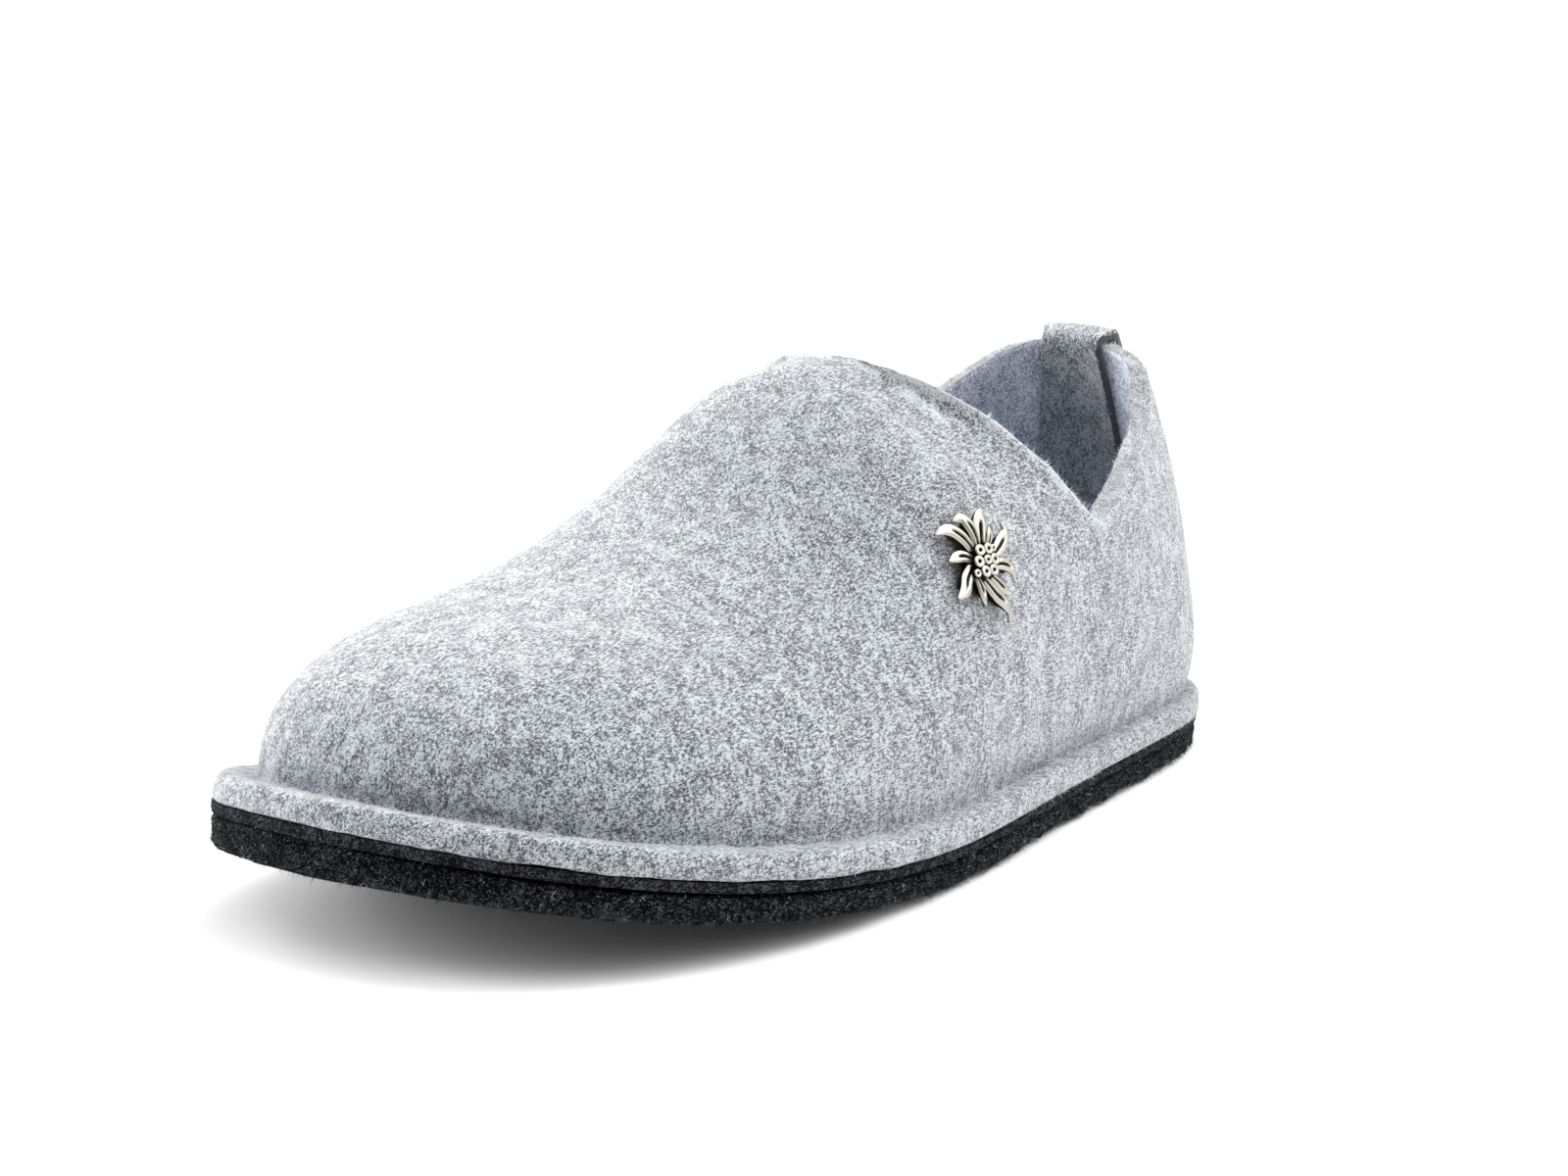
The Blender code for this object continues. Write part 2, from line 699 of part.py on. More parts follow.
def build_petal(petal, radius):
    maker = bmesh.new()
    angle = math.radians(petal["angle"])
    length = petal["length"] * radius
    stations = [(0.16, 0.55), (0.40, 0.90), (0.62, 1.00), (0.82, 0.72), (1.00, 0.16)]
    rings = []
    for share, wide in stations:
        distance = share * length
        side = petal["curl"] * length * (share - 0.16) ** 2 * 1.4
        half = 0.5 * petal["width"] * length * wide
        lift = petal["lift"] * FLOWER_THICK * (share - 0.16) * 1.5
        high = FLOWER_THICK * (1.0 - 0.25 * share)
        section = [(-half, 0.25), (-half * 0.72, 0.0), (half * 0.72, 0.0), (half, 0.25)]
        section += [(half * 0.55, 1.0), (0.0, 0.80), (-half * 0.55, 1.0)]
        ring = []
        for across, level in section:
            x = distance * math.cos(angle) - (side + across) * math.sin(angle)
            y = distance * math.sin(angle) + (side + across) * math.cos(angle)
            ring.append(maker.verts.new((x, y, lift + level * high)))
        rings.append(ring)
    rows_of_faces(maker, rings)
    maker.faces.new(rings[0])
    maker.faces.new(rings[-1])
    bmesh.ops.recalc_face_normals(maker, faces=maker.faces)
    return maker


def join_parts(parts):
    # One closed body from overlapping closed bodies
    objects = []
    for k, maker in enumerate(parts):
        bmesh.ops.recalc_face_normals(maker, faces=maker.faces)
        mesh = bpy.data.meshes.new("flower_part_%d" % k)
        maker.to_mesh(mesh)
        maker.free()
        item = bpy.data.objects.new(mesh.name, mesh)
        bpy.context.scene.collection.objects.link(item)
        objects.append(item)
    whole = objects[0]
    for item in objects[1:]:
        union = whole.modifiers.new(item.name, "BOOLEAN")
        union.operation = "UNION"
        union.solver = "EXACT"
        union.object = item
    graph = bpy.context.evaluated_depsgraph_get()
    made = bmesh.new()
    made.from_mesh(whole.evaluated_get(graph).to_mesh())
    for item in objects:
        bpy.data.objects.remove(item, do_unlink=True)
    bmesh.ops.remove_doubles(made, verts=made.verts, dist=0.00001)
    bmesh.ops.triangulate(made, faces=made.faces)
    return made


def wrap_flower(maker):
    # Lays the flat flower on the curved skin of the outer side
    for vertex in maker.verts:
        across, up, out = vertex.co
        along = FLOWER_ALONG * LENGTH + across
        _point, _forward, rise, _normal = side_surface(FLOWER_ALONG * LENGTH, FLOWER_HEIGHT)
        point, _forward, _up, normal = side_surface(along, FLOWER_HEIGHT + up * rise[2])
        vertex.co = Vector(point + normal * (GAP + out))


def build():
    clear_scene()
    pale = material("pale_felt", PALE_FELT, 0.95)
    mid = material("mid_felt", MID_FELT, 0.9)
    dark = material("dark_felt", DARK_FELT, 0.95)
    silver = material("antique_silver", SILVER, 0.35, 1.0)

    lines = shell_lines()
    _upper, inner_line = build_upper(pale, lines)
    ladder("outsole", inset_curve(EDGE, OUTSOLE_INSET), 0.0, OUTSOLE, dark, EDGE_ROUND)
    low = OUTSOLE + GAP
    ladder("midsole", inset_curve(EDGE, MIDSOLE_INSET), low, low + MIDSOLE, mid, EDGE_ROUND * 0.3)
    low = OUTSOLE + GAP + MIDSOLE + GAP
    bed = inset_curve(np.array(inner_line), GAP)
    ladder("insole", bed, low, low + INSOLE, pale, EDGE_ROUND * 0.4)
    build_strip(pale)
    build_flower(silver)


build()
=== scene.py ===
# %% [markdown]
# # A felt house slipper
# The real thing is a left slipper of moulded wool felt: a pale grey shell whose base turns out
# into a flange, a thin mid-grey layer, a dark felt outsole and a cast silver flower on the outer
# side. The CAD model gives the solid shapes in metres. This lesson dresses them: it makes each
# felt piece smooth and woolly, models the flower in detail and sets up the camera and the light.
# The toe points towards -Y, the outer side of the foot towards +X, and Z is up.

# %% Load the frame
import math

import bpy
import numpy as np
from mathutils import Matrix, Vector
from mathutils.kdtree import KDTree


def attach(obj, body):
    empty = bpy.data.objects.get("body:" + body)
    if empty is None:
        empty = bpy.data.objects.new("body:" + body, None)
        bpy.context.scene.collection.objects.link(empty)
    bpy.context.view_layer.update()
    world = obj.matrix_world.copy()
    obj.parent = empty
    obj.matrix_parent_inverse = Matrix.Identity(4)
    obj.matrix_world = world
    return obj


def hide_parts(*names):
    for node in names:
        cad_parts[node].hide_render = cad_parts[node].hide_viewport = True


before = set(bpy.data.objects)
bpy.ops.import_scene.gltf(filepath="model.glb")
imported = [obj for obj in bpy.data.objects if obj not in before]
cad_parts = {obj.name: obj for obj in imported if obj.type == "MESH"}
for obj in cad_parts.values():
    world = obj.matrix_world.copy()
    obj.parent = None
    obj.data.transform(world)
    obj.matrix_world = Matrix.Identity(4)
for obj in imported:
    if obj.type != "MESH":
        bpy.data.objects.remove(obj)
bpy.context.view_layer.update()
scene = bpy.context.scene
MM = 0.001
print("CAD nodes:", sorted(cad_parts))

# %% [markdown]
# ## The camera
# The slipper was photographed from the outer side of its front, a little above the table, with
# a lens that hardly narrows the toe. The camera could be aimed with a constraint, but plain
# numbers keep the other views simple. It stands 31 degrees round from the toe and 11 degrees up,
# and it is rolled by less than three degrees because the photograph hangs that much.

# %% Place the camera
CAMERA_AT = Vector((0.3416, -0.5611, 0.1690))
AIM_AT = Vector((-0.0074, 0.0082, 0.0437))
ROLL = math.radians(2.62)
LENS_MM = 80.0
SENSOR_MM = 36.0
CLIP_START = 0.05

forward = (AIM_AT - CAMERA_AT).normalized()
right = forward.cross(Vector((0, 0, 1))).normalized()
above = right.cross(forward)
level_right = right * math.cos(ROLL) + above * math.sin(ROLL)
level_up = above * math.cos(ROLL) - right * math.sin(ROLL)

camera_data = bpy.data.cameras.new("camera")
camera_data.lens = LENS_MM
camera_data.sensor_width = SENSOR_MM
camera_data.clip_start = CLIP_START
camera = bpy.data.objects.new("camera", camera_data)
scene.collection.objects.link(camera)
turn = Matrix((level_right, level_up, -forward)).transposed().to_4x4()
camera.matrix_world = Matrix.Translation(CAMERA_AT) @ turn
scene.camera = camera
print("camera at", tuple(CAMERA_AT), "looks along", tuple(round(part, 3) for part in forward))

# %% [markdown]
# ## Helpers for meshes
# Blender's operators act on what is selected, so each step starts by selecting one object and
# nothing else. A felt piece starts as a copy of its CAD solid. The copy is made of loose
# triangles: its doubled points are merged and its triangles are joined back to quads, so that
# a Subdivision Surface can round it.

# %% Select one object
def only(piece):
    for item in bpy.context.selected_objects:
        item.select_set(False)
    piece.select_set(True)
    bpy.context.view_layer.objects.active = piece


def apply_all(piece):
    only(piece)
    for modifier in list(piece.modifiers):
        bpy.ops.object.modifier_apply(modifier=modifier.name)


# %% Copy a CAD solid as a clean quad mesh
SAME_POINT = 0.000005
QUAD_FOLD = math.radians(30)
QUAD_SHAPE = math.radians(80)


def copy_of(node_name, name):
    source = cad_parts[node_name]
    piece = source.copy()
    piece.data = source.data.copy()
    piece.name = name
    piece.data.name = name
    piece.parent = None
    piece.matrix_world = Matrix.Identity(4)
    for key in list(piece.keys()):
        del piece[key]
    scene.collection.objects.link(piece)
    piece.data.materials.clear()
    only(piece)
    bpy.ops.object.mode_set(mode="EDIT")
    bpy.ops.mesh.select_all(action="SELECT")
    bpy.ops.mesh.customdata_custom_splitnormals_clear()
    bpy.ops.mesh.remove_doubles(threshold=SAME_POINT)
    bpy.ops.mesh.tris_convert_to_quads(face_threshold=QUAD_FOLD, shape_threshold=QUAD_SHAPE)
    bpy.ops.mesh.select_all(action="DESELECT")
    bpy.ops.object.mode_set(mode="OBJECT")
    print(name, "starts with", len(piece.data.polygons), "faces")
    return piece


# %% Round a piece, with its cut edges kept
SHARP = math.radians(50.0)


def soften(piece, levels, crease):
    only(piece)
    bpy.ops.object.mode_set(mode="EDIT")
    bpy.ops.mesh.select_mode(type="EDGE")
    bpy.ops.mesh.select_all(action="DESELECT")
    bpy.ops.mesh.edges_select_sharp(sharpness=SHARP)
    bpy.ops.transform.edge_crease(value=crease)
    bpy.ops.mesh.select_all(action="DESELECT")
    bpy.ops.object.mode_set(mode="OBJECT")
    rounding = piece.modifiers.new("rounding", "SUBSURF")
    rounding.levels = levels
    rounding.render_levels = levels
    apply_all(piece)
    bpy.ops.object.shade_smooth()
    print(piece.name, "is rounded to", len(piece.data.polygons), "faces")


# %% Read and write the points of a mesh
def points_of(piece):
    places = np.empty(len(piece.data.vertices) * 3)
    piece.data.vertices.foreach_get("co", places)
    return places.reshape(-1, 3)


def normals_of(piece):
    ways = np.empty(len(piece.data.vertices) * 3)
    piece.data.vertices.foreach_get("normal", ways)
    return ways.reshape(-1, 3)


def set_points(piece, places):
    piece.data.vertices.foreach_set("co", places.ravel())
    piece.data.update()


def faces_of(piece):
    centres = np.empty(len(piece.data.polygons) * 3)
    piece.data.polygons.foreach_get("center", centres)
    ways = np.empty(len(piece.data.polygons) * 3)
    piece.data.polygons.foreach_get("normal", ways)
    return centres.reshape(-1, 3), ways.reshape(-1, 3)


def keep_value(piece, name, values):
    kept = piece.data.attributes.new(name, "FLOAT", "POINT")
    kept.data.foreach_set("value", np.asarray(values, dtype=np.float32))


# %% A smooth uneven field
WAVES = 14
WAVES_SHRINK = 4.5


def ripple(places, wave_mm, seed):
    # Sine waves in scattered directions add up to soft lumps about wave_mm apart, from -1 to 1
    dice = np.random.default_rng(seed)
    total = np.zeros(len(places))
    for _ in range(WAVES):
        way = dice.normal(size=3)
        way *= dice.uniform(0.7, 1.4) * 2.0 * math.pi / (wave_mm * MM * np.linalg.norm(way))
        total += np.sin(places @ way + dice.uniform(0.0, 6.28))
    return total / WAVES_SHRINK


def ripples(places, rows):
    # Each row gives a wave length in millimetres, a seed and a height
    return sum(ripple(places, wave_mm, seed) * height for wave_mm, seed, height in rows)


def ease(values, low, high):
    # From 0 at the low value to 1 at the high one, slow at both ends
    share = np.clip((values - low) / (high - low), 0.0, 1.0)
    return share * share * (3.0 - 2.0 * share)


# %% [markdown]
# ## Helpers for materials
# Colours are given as sRGB hex values, and the shader wants linear light, so one
# function turns them. Another adds a node with its settings and its links, and every material
# below is built with it.

# %% Colours and nodes
def linear(hex_colour):
    channels = []
    for k in (0, 2, 4):
        value = int(hex_colour[k:k + 2], 16) / 255.0
        channels.append(value / 12.92 if value <= 0.04045 else ((value + 0.055) / 1.055) ** 2.4)
    return (*channels, 1.0)


def add(tree, kind, settings=None, values=None, links=None):
    made = tree.nodes.new(kind)
    for key, value in (settings or {}).items():
        setattr(made, key, value)
    for key, value in (values or {}).items():
        made.inputs[key].default_value = value
    for key, source in (links or {}).items():
        tree.links.new(source, made.inputs[key])
    return made


def new_material(name):
    made = bpy.data.materials.new(name)
    made.use_nodes = True
    return made, made.node_tree, made.node_tree.nodes["Principled BSDF"]


def ramp(tree, source, stops, smooth="LINEAR"):
    made = add(tree, "ShaderNodeValToRGB", links={"Fac": source})
    made.color_ramp.interpolation = smooth
    elements = made.color_ramp.elements
    while len(elements) < len(stops):
        elements.new(0.5)
    for element, (position, colour) in zip(elements, stops):
        element.position = position
        element.color = colour
    return made.outputs["Color"]


def noise(tree, where, scale, detail, roughness=0.5, distortion=0.0):
    values = {"Scale": scale, "Detail": detail, "Roughness": roughness, "Distortion": distortion}
    return add(tree, "ShaderNodeTexNoise", values=values, links={"Vector": where}).outputs["Fac"]


def grey(value):
    return (value, value, value, 1.0)


# %% [markdown]
# ## Wool felt
# Felt is wool that was carded, wetted and pressed until its fibres locked. This one is a
# melange: white wool mixed with a little dark grey, so the eye sees a pale ground, soft clouds
# a few millimetres wide and fine dark flecks of single locks, drawn out along the wall. A photo
# texture would do it, but noise in the shoe's own millimetres has no seams. One function makes
# every felt here, because all are the same cloth in another mix, with another nap. Two values
# kept on the mesh change it from place to place, and both paint light into the colour: one adds
# a painted highlight along a cut and thin lines of painted shade, the other multiplies in a
# bluish painted shade where the cloth folds in and deep inside the shoe.

# %% Make a felt
FLECK_MM = 0.62
CLOUD_MM = 3.2
FIBRE_MM = 0.30
CLOUD_WEIGHT = 0.5
FIBRE_WEIGHT = 1.9
HAIR_LEANS = ((0.5, 0.35, 0.9), (-0.7, 0.9, -0.4))
HAIR_SHAPE = (1.0, 0.26, 1.0)
MIX_MIDDLE = 1.60
MIX_REACH = 0.25
SHADE_TINT = "ACAFC2"
RELIEF = 0.0006


def felt(name, pale, middle, dark, flecks=0.5, stretch=0.55, bump=0.35, fuzz=0.25, gloss=0.2):
    # flecks: how much of the surface is dark lock; stretch: 1 for round flecks, less for tall ones
    made, tree, shader = new_material(name)
    where = add(tree, "ShaderNodeTexCoord").outputs["Object"]
    drawn = add(tree, "ShaderNodeMapping", values={"Scale": (1.0, 1.0, stretch)}, links={"Vector": where})
    clouds = noise(tree, drawn.outputs[0], 1000.0 / CLOUD_MM, 2.0)
    locks = noise(tree, drawn.outputs[0], 1000.0 / FLECK_MM, 2.0, 0.6, 0.8)
    hairs = []
    for lean in HAIR_LEANS:
        leaning = add(tree, "ShaderNodeMapping", values={"Rotation": lean, "Scale": HAIR_SHAPE},
                      links={"Vector": where})
        hairs.append(noise(tree, leaning.outputs[0], 1000.0 / FIBRE_MM, 1.0, 0.6, 0.8))
    fibres = add(tree, "ShaderNodeMath", {"operation": "MINIMUM"}, links={0: hairs[0], 1: hairs[1]})
    # Clouds, locks, fibres and the painted highlight and shade add up to one level, and a ramp colours it
    painted = add(tree, "ShaderNodeAttribute", {"attribute_name": "painted_highlight_and_shade"}).outputs["Fac"]
    mixed = add(tree, "ShaderNodeMath", {"operation": "MULTIPLY_ADD"}, {1: CLOUD_WEIGHT},
                {0: clouds, 2: locks})
    mixed = add(tree, "ShaderNodeMath", {"operation": "MULTIPLY_ADD"}, {1: FIBRE_WEIGHT},
                {0: fibres.outputs[0], 2: mixed.outputs[0]})
    mixed = add(tree, "ShaderNodeMath", {"operation": "ADD"}, links={0: mixed.outputs[0], 1: painted})
    reach = {"From Min": MIX_MIDDLE - MIX_REACH, "From Max": MIX_MIDDLE + MIX_REACH}
    level = add(tree, "ShaderNodeMapRange", values=reach, links={"Value": mixed.outputs[0]})
    stops = [(0.10, linear(dark)), (0.5 * (0.5 + flecks), linear(middle)), (0.90, linear(pale))]
    colour = ramp(tree, level.outputs[0], stops)
    # Painted shade: the colour is multiplied towards a bluish tint where the mesh value asks for it
    painted_shade = add(tree, "ShaderNodeAttribute", {"attribute_name": "painted_shade"}).outputs["Fac"]
    shaded = add(tree, "ShaderNodeMix", {"data_type": "RGBA", "blend_type": "MULTIPLY"},
                 {7: linear(SHADE_TINT)}, {0: painted_shade, 6: colour})
    tree.links.new(shaded.outputs[2], shader.inputs["Base Color"])
    shader.inputs["Roughness"].default_value = 0.95
    shader.inputs["Specular IOR Level"].default_value = gloss
    shader.inputs["Sheen Weight"].default_value = fuzz
    shader.inputs["Sheen Roughness"].default_value = 0.6
    height = add(tree, "ShaderNodeMath", {"operation": "ADD"}, links={0: locks, 1: fibres.outputs[0]})
    relief = add(tree, "ShaderNodeBump", values={"Strength": bump, "Distance": RELIEF},
                 links={"Height": height.outputs[0]})
    tree.links.new(relief.outputs[0], shader.inputs["Normal"])
    return made


pale_felt = felt("pale_melange_wool_felt", "AEB2B6", "7F8388", "2B3036", fuzz=0.35)
cut_felt = felt("cut_edge_of_wool_felt", "B0B4B7", "868A8F", "343940", bump=0.8, fuzz=0.6)
# The inside wears its own bluish copy of the felt, set to the tone of the shade in the shoe: a painted shade
# tint
shade_painted_felt = felt("shaded_melange_wool_felt", "E0E4EE", "C4C9D6", "7C8294")
SOLE_GLOSS = 0.05
mid_felt = felt("mid_grey_pressed_felt", "404449", "141518", "050606",
                flecks=0.6, stretch=1.0, bump=0.5, fuzz=0.0, gloss=SOLE_GLOSS)
dark_felt = felt("anthracite_wool_felt", "3C4044", "040405", "010101",
                 flecks=0.9, stretch=1.0, bump=0.8, fuzz=0.0, gloss=SOLE_GLOSS)
print("felts made:", [paint.name for paint in bpy.data.materials if "felt" in paint.name])

# %% [markdown]
# ## The moulded shell
# The real shell is one piece of felt, wetted and pressed over a last. Its base turns out into a
# flange with a soft crease above it, and its openings are cut raw. The copy of the CAD solid is
# rounded, then soft forms are pressed into it, in the shoe's own sizes.

# %% Shape the shell
INNER_FACE = 1
CUT_FACE = 2
OPENING_ABOVE = 0.05
THROAT_BEFORE = 0.027

shell = copy_of("upper", "felt_shell")
for paint in (pale_felt, shade_painted_felt, cut_felt):
    shell.data.materials.append(paint)
only(shell)
bpy.ops.object.mode_set(mode="EDIT")
bpy.ops.mesh.select_mode(type="EDGE")
bpy.ops.mesh.select_all(action="DESELECT")
bpy.ops.mesh.edges_select_sharp(sharpness=SHARP)
bpy.ops.object.mode_set(mode="OBJECT")
sharp = {tuple(sorted(edge.vertices)) for edge in shell.data.edges if edge.select}
# A cut face lies between two sharp edges; at the throat it also looks back to the heel
rim_corners = set()
for face in shell.data.polygons:
    cut_sides = sum(tuple(sorted(key)) in sharp for key in face.edge_keys)
    looks_back = face.center.y >= THROAT_BEFORE or face.normal.y > 0.7
    if cut_sides >= 2 and face.center.z > OPENING_ABOVE and looks_back:
        face.material_index = CUT_FACE
        rim_corners.update(face.vertices)
print("cut faces of the openings:", sum(face.material_index == CUT_FACE for face in shell.data.polygons))

# %% Slant the cut a little outwards
# The cutter held the felt on the last, so the outer edge of the cut lies lower than the inner one
SLANT_MM = 1.3
HEART_END = 0.09
HEART_HIGH = 0.03


def heart_of(place):
    # The nearest point of a line through the middle of the foot
    return Vector((0.0, min(max(place.y, -HEART_END), HEART_END), HEART_HIGH))


slants = {}
for face in shell.data.polygons:
    if face.material_index == CUT_FACE:
        heart = heart_of(face.center)
        far = {corner: (shell.data.vertices[corner].co - heart).length for corner in face.vertices}
        halfway = sum(far.values()) / len(far)
        for corner in face.vertices:
            if far[corner] > halfway:
                slants.setdefault(corner, []).append(face.normal.copy())
for corner, ways in slants.items():
    shell.data.vertices[corner].co -= sum(ways, Vector()).normalized() * (SLANT_MM * MM)
print("slanted corners:", len(slants))

# %% Relax the pleats beside the throat
# The solid's faces are a little folded beside the throat, and real felt lies smooth there
PLEATS_AT = (Vector((0.018, 0.018, 0.081)), Vector((-0.018, 0.018, 0.081)))
PLEATS_REACH = 0.016

for edge in shell.data.edges:
    edge.select = False
for face in shell.data.polygons:
    face.select = False
for vertex in shell.data.vertices:
    beside = min((vertex.co - pleats).length for pleats in PLEATS_AT)
    vertex.select = beside < PLEATS_REACH and vertex.index not in rim_corners
print("pleated points:", sum(vertex.select for vertex in shell.data.vertices))
only(shell)
bpy.ops.object.mode_set(mode="EDIT")
bpy.ops.mesh.select_mode(type="VERT")
bpy.ops.mesh.vertices_smooth(factor=0.5, repeat=8)
bpy.ops.mesh.select_all(action="DESELECT")
bpy.ops.object.mode_set(mode="OBJECT")

# %% Find the folded-in line above the flange
FOLD_BEND = math.radians(22.0)
FLANGE_BELOW = 0.034
FOLD_BELOW = 0.035

sides = {}
for face in shell.data.polygons:
    for key in face.edge_keys:
        sides.setdefault(tuple(sorted(key)), []).append(face)
fold = []
for key, pair in sides.items():
    if len(pair) == 2 and pair[0].normal.angle(pair[1].normal) > FOLD_BEND:
        hollow = (pair[1].center - pair[0].center).dot(pair[0].normal) > 0.0
        halfway = (shell.data.vertices[key[0]].co + shell.data.vertices[key[1]].co) / 2.0
        if hollow and halfway.z < FOLD_BELOW and min(face.normal.z for face in pair) > -0.3:
            fold.append(halfway)
print("the fold line has", len(fold), "edges")

# %% Round the shell, with the flange's edges a little crisper
for edge in shell.data.edges:
    low = all(shell.data.vertices[corner].co.z < FLANGE_BELOW for corner in edge.vertices)
    edge.select = low and tuple(sorted(edge.vertices)) in sharp
only(shell)
bpy.ops.object.mode_set(mode="EDIT")
bpy.ops.transform.edge_crease(value=0.2)
bpy.ops.object.mode_set(mode="OBJECT")
soften(shell, 2, 0.75)
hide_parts("upper")
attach(shell, "root")

# %% Paint the inside of the shell with the bluish shade felt
# A face belongs to the inside when it looks back to the middle line of the shoe
INSIDE_ABOVE = 0.013

middle, looks = faces_of(shell)
along = np.clip(middle[:, 1], -HEART_END, HEART_END)
heart = np.stack([np.zeros(len(middle)), along, np.full(len(middle), HEART_HIGH)], axis=1)
inward = np.sum(looks * (heart - middle), axis=1) / np.linalg.norm(heart - middle, axis=1)
inside = (inward > 0.35) & (middle[:, 2] > INSIDE_ABOVE)
painted = np.empty(len(inside), dtype=np.int32)
shell.data.polygons.foreach_get("material_index", painted)
cut = painted == CUT_FACE
painted = np.where(cut, CUT_FACE, np.where(inside, INNER_FACE, 0)).astype(np.int32)
shell.data.polygons.foreach_set("material_index", painted)
print("inside faces:", int(inside.sum()), "cut faces:", int(cut.sum()), "of", len(inside))

# %% Measure how far each point is from the cut and from the fold
def distances(piece, targets):
    # To the nearest target, in millimetres
    tree = KDTree(len(targets))
    for number, target in enumerate(targets):
        tree.insert(target, number)
    tree.balance()
    return np.array([tree.find(vertex.co)[2] for vertex in piece.data.vertices]) / MM


cut_faces = [face for face in shell.data.polygons if face.material_index == CUT_FACE]
rim_corners = {corner for face in cut_faces for corner in face.vertices}
from_cut = distances(shell, [shell.data.vertices[corner].co.copy() for corner in rim_corners])
from_fold = distances(shell, fold)
inner_points = np.zeros(len(shell.data.vertices))
for face in shell.data.polygons:
    if face.material_index == INNER_FACE:
        inner_points[list(face.vertices)] = 1.0
print("points of the inside:", int(inner_points.sum()))

# %% Paint a highlight along the vamp's cut and shade in the fold
# A painted highlight runs along the vamp's cut, where the cut edge catches the light, before the notch of
# the opening and hardly behind it; a faint painted shade line lies in the groove beside it
NOTCH_Y = (0.052, 0.060)
CUT_HIGHLIGHT_MM = 1.6
GROOVE_SHADE_MM = (3.0, 0.8)
FOLD_SHADE_MM = 3.2

behind = ease(points_of(shell)[:, 1], *NOTCH_Y)
cut_highlight = (0.28 - 0.25 * behind) * np.exp(-(from_cut / CUT_HIGHLIGHT_MM) ** 2)
groove_shade = 0.05 * np.exp(-((from_cut - GROOVE_SHADE_MM[0]) / GROOVE_SHADE_MM[1]) ** 2)
keep_value(shell, "painted_highlight_and_shade", (1.0 - inner_points) * (cut_highlight - groove_shade))
# Bluish painted shade lies in the fold above the flange, weaker where the felt faces up, and inside the
# shoe, growing towards the bottom
level_part = ease(normals_of(shell)[:, 2], 0.45, 0.85)
painted_depth_shade = 0.75 * (1.0 - ease(points_of(shell)[:, 2], 0.035, 0.070))
painted_fold_shade = 0.75 * np.exp(-(from_fold / FOLD_SHADE_MM) ** 2) * (1.0 - 0.8 * level_part)
keep_value(shell, "painted_shade", np.where(inner_points > 0.5, painted_depth_shade, painted_fold_shade))
print("points near the cut:", int((from_cut < CUT_HIGHLIGHT_MM).sum()))
print("points near the fold:", int((from_fold < FOLD_SHADE_MM).sum()))

# %% Press the soft forms into the shell
# Moulded felt is never quite even: it keeps low swellings from the last and small dents of the
# hand. The forms that show are listed here, in millimetres, as soft troughs and ridges.
FORMS = [
    {"at": (0.030, -0.020, 0.058), "reach": (9.0, 26.0, 9.0), "height": -0.7},
    {"at": (0.045, -0.060, 0.033), "reach": (12.0, 24.0, 7.0), "height": 0.5},
    {"at": (0.040, 0.045, 0.036), "reach": (10.0, 18.0, 12.0), "height": -0.6},
    {"at": (-0.012, -0.015, 0.075), "reach": (16.0, 9.0, 9.0), "height": 0.4},
    {"at": (0.000, -0.118, 0.036), "reach": (18.0, 8.0, 8.0), "height": 0.4},
]
SHELL_WAVES = [(16.0, 3, 0.16), (5.0, 4, 0.07)]
RIM_WAVES = [(3.0, 5, 0.12)]
SEATED_BELOW = 0.0085
FREE_ABOVE = 0.0105

spots = points_of(shell)
ways = normals_of(shell)
move = ripples(spots, SHELL_WAVES)
for form in FORMS:
    away = (spots - np.array(form["at"])) / (np.array(form["reach"]) * MM)
    move += form["height"] * np.exp(-np.sum(away ** 2, axis=1))
# The cutter pressed a shallow groove beside the cut, and the cut edge itself swelled a little
move += 0.15 * np.exp(-(from_cut / 1.0) ** 2) - 0.18 * np.exp(-((from_cut - 2.8) / 0.9) ** 2)
move += ripples(spots, RIM_WAVES) * np.exp(-(from_cut / 2.5) ** 2)
free = ease(spots[:, 2], SEATED_BELOW, FREE_ABOVE)
set_points(shell, spots + ways * (move * MM * free)[:, None])
print("the shell moves by", round(float(np.abs(move).max()), 2), "mm at most")

# %% [markdown]
# ## The folded strip, the insole and the layers of the sole
# The strip at the back of the collar is a thinner felt, folded over and glued down. The insole
# can't be seen in the photograph and is a plain felt bed. The middle layer is thin, hard and
# smooth at its cut edge, and the outsole is coarse dark felt, cut by hand, a little wavy.

# %% Shape the strip
FOLD_HIGH = 0.0015

strip = copy_of("heel_strip", "folded_strip")
soften(strip, 2, 0.6)
strip.data.materials.append(pale_felt)
# Painted shade: its inner face, which lies in the shade of the shoe, darkens further below the top, and one
# painted shade line runs down its cut side
looks = normals_of(strip)
under_top = points_of(strip)[:, 2].max() - points_of(strip)[:, 2]
keep_value(strip, "painted_shade", 0.45 * ease(under_top, 0.001, 0.014) * (looks[:, 1] < 0.2))
keep_value(strip, "painted_highlight_and_shade", -0.60 * (looks[:, 0] > 0.5) * (under_top > FOLD_HIGH))
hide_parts("heel_strip")
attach(strip, "root")

# %% Shape the insole
bed = copy_of("insole", "felt_footbed")
soften(bed, 1, 0.9)
bed.data.materials.append(shade_painted_felt)
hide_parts("insole")
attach(bed, "root")

# %% Shape the middle layer
CLOSE_GAP_MM = 0.35
LAYER_WAVES = [(7.0, 31, 0.15), (2.6, 32, 0.12)]

middle_layer = copy_of("midsole", "middle_layer")
soften(middle_layer, 2, 0.9)
flat = points_of(middle_layer)
outward = normals_of(middle_layer)
on_side = 1.0 - ease(np.abs(outward[:, 2]), 0.75, 0.98)
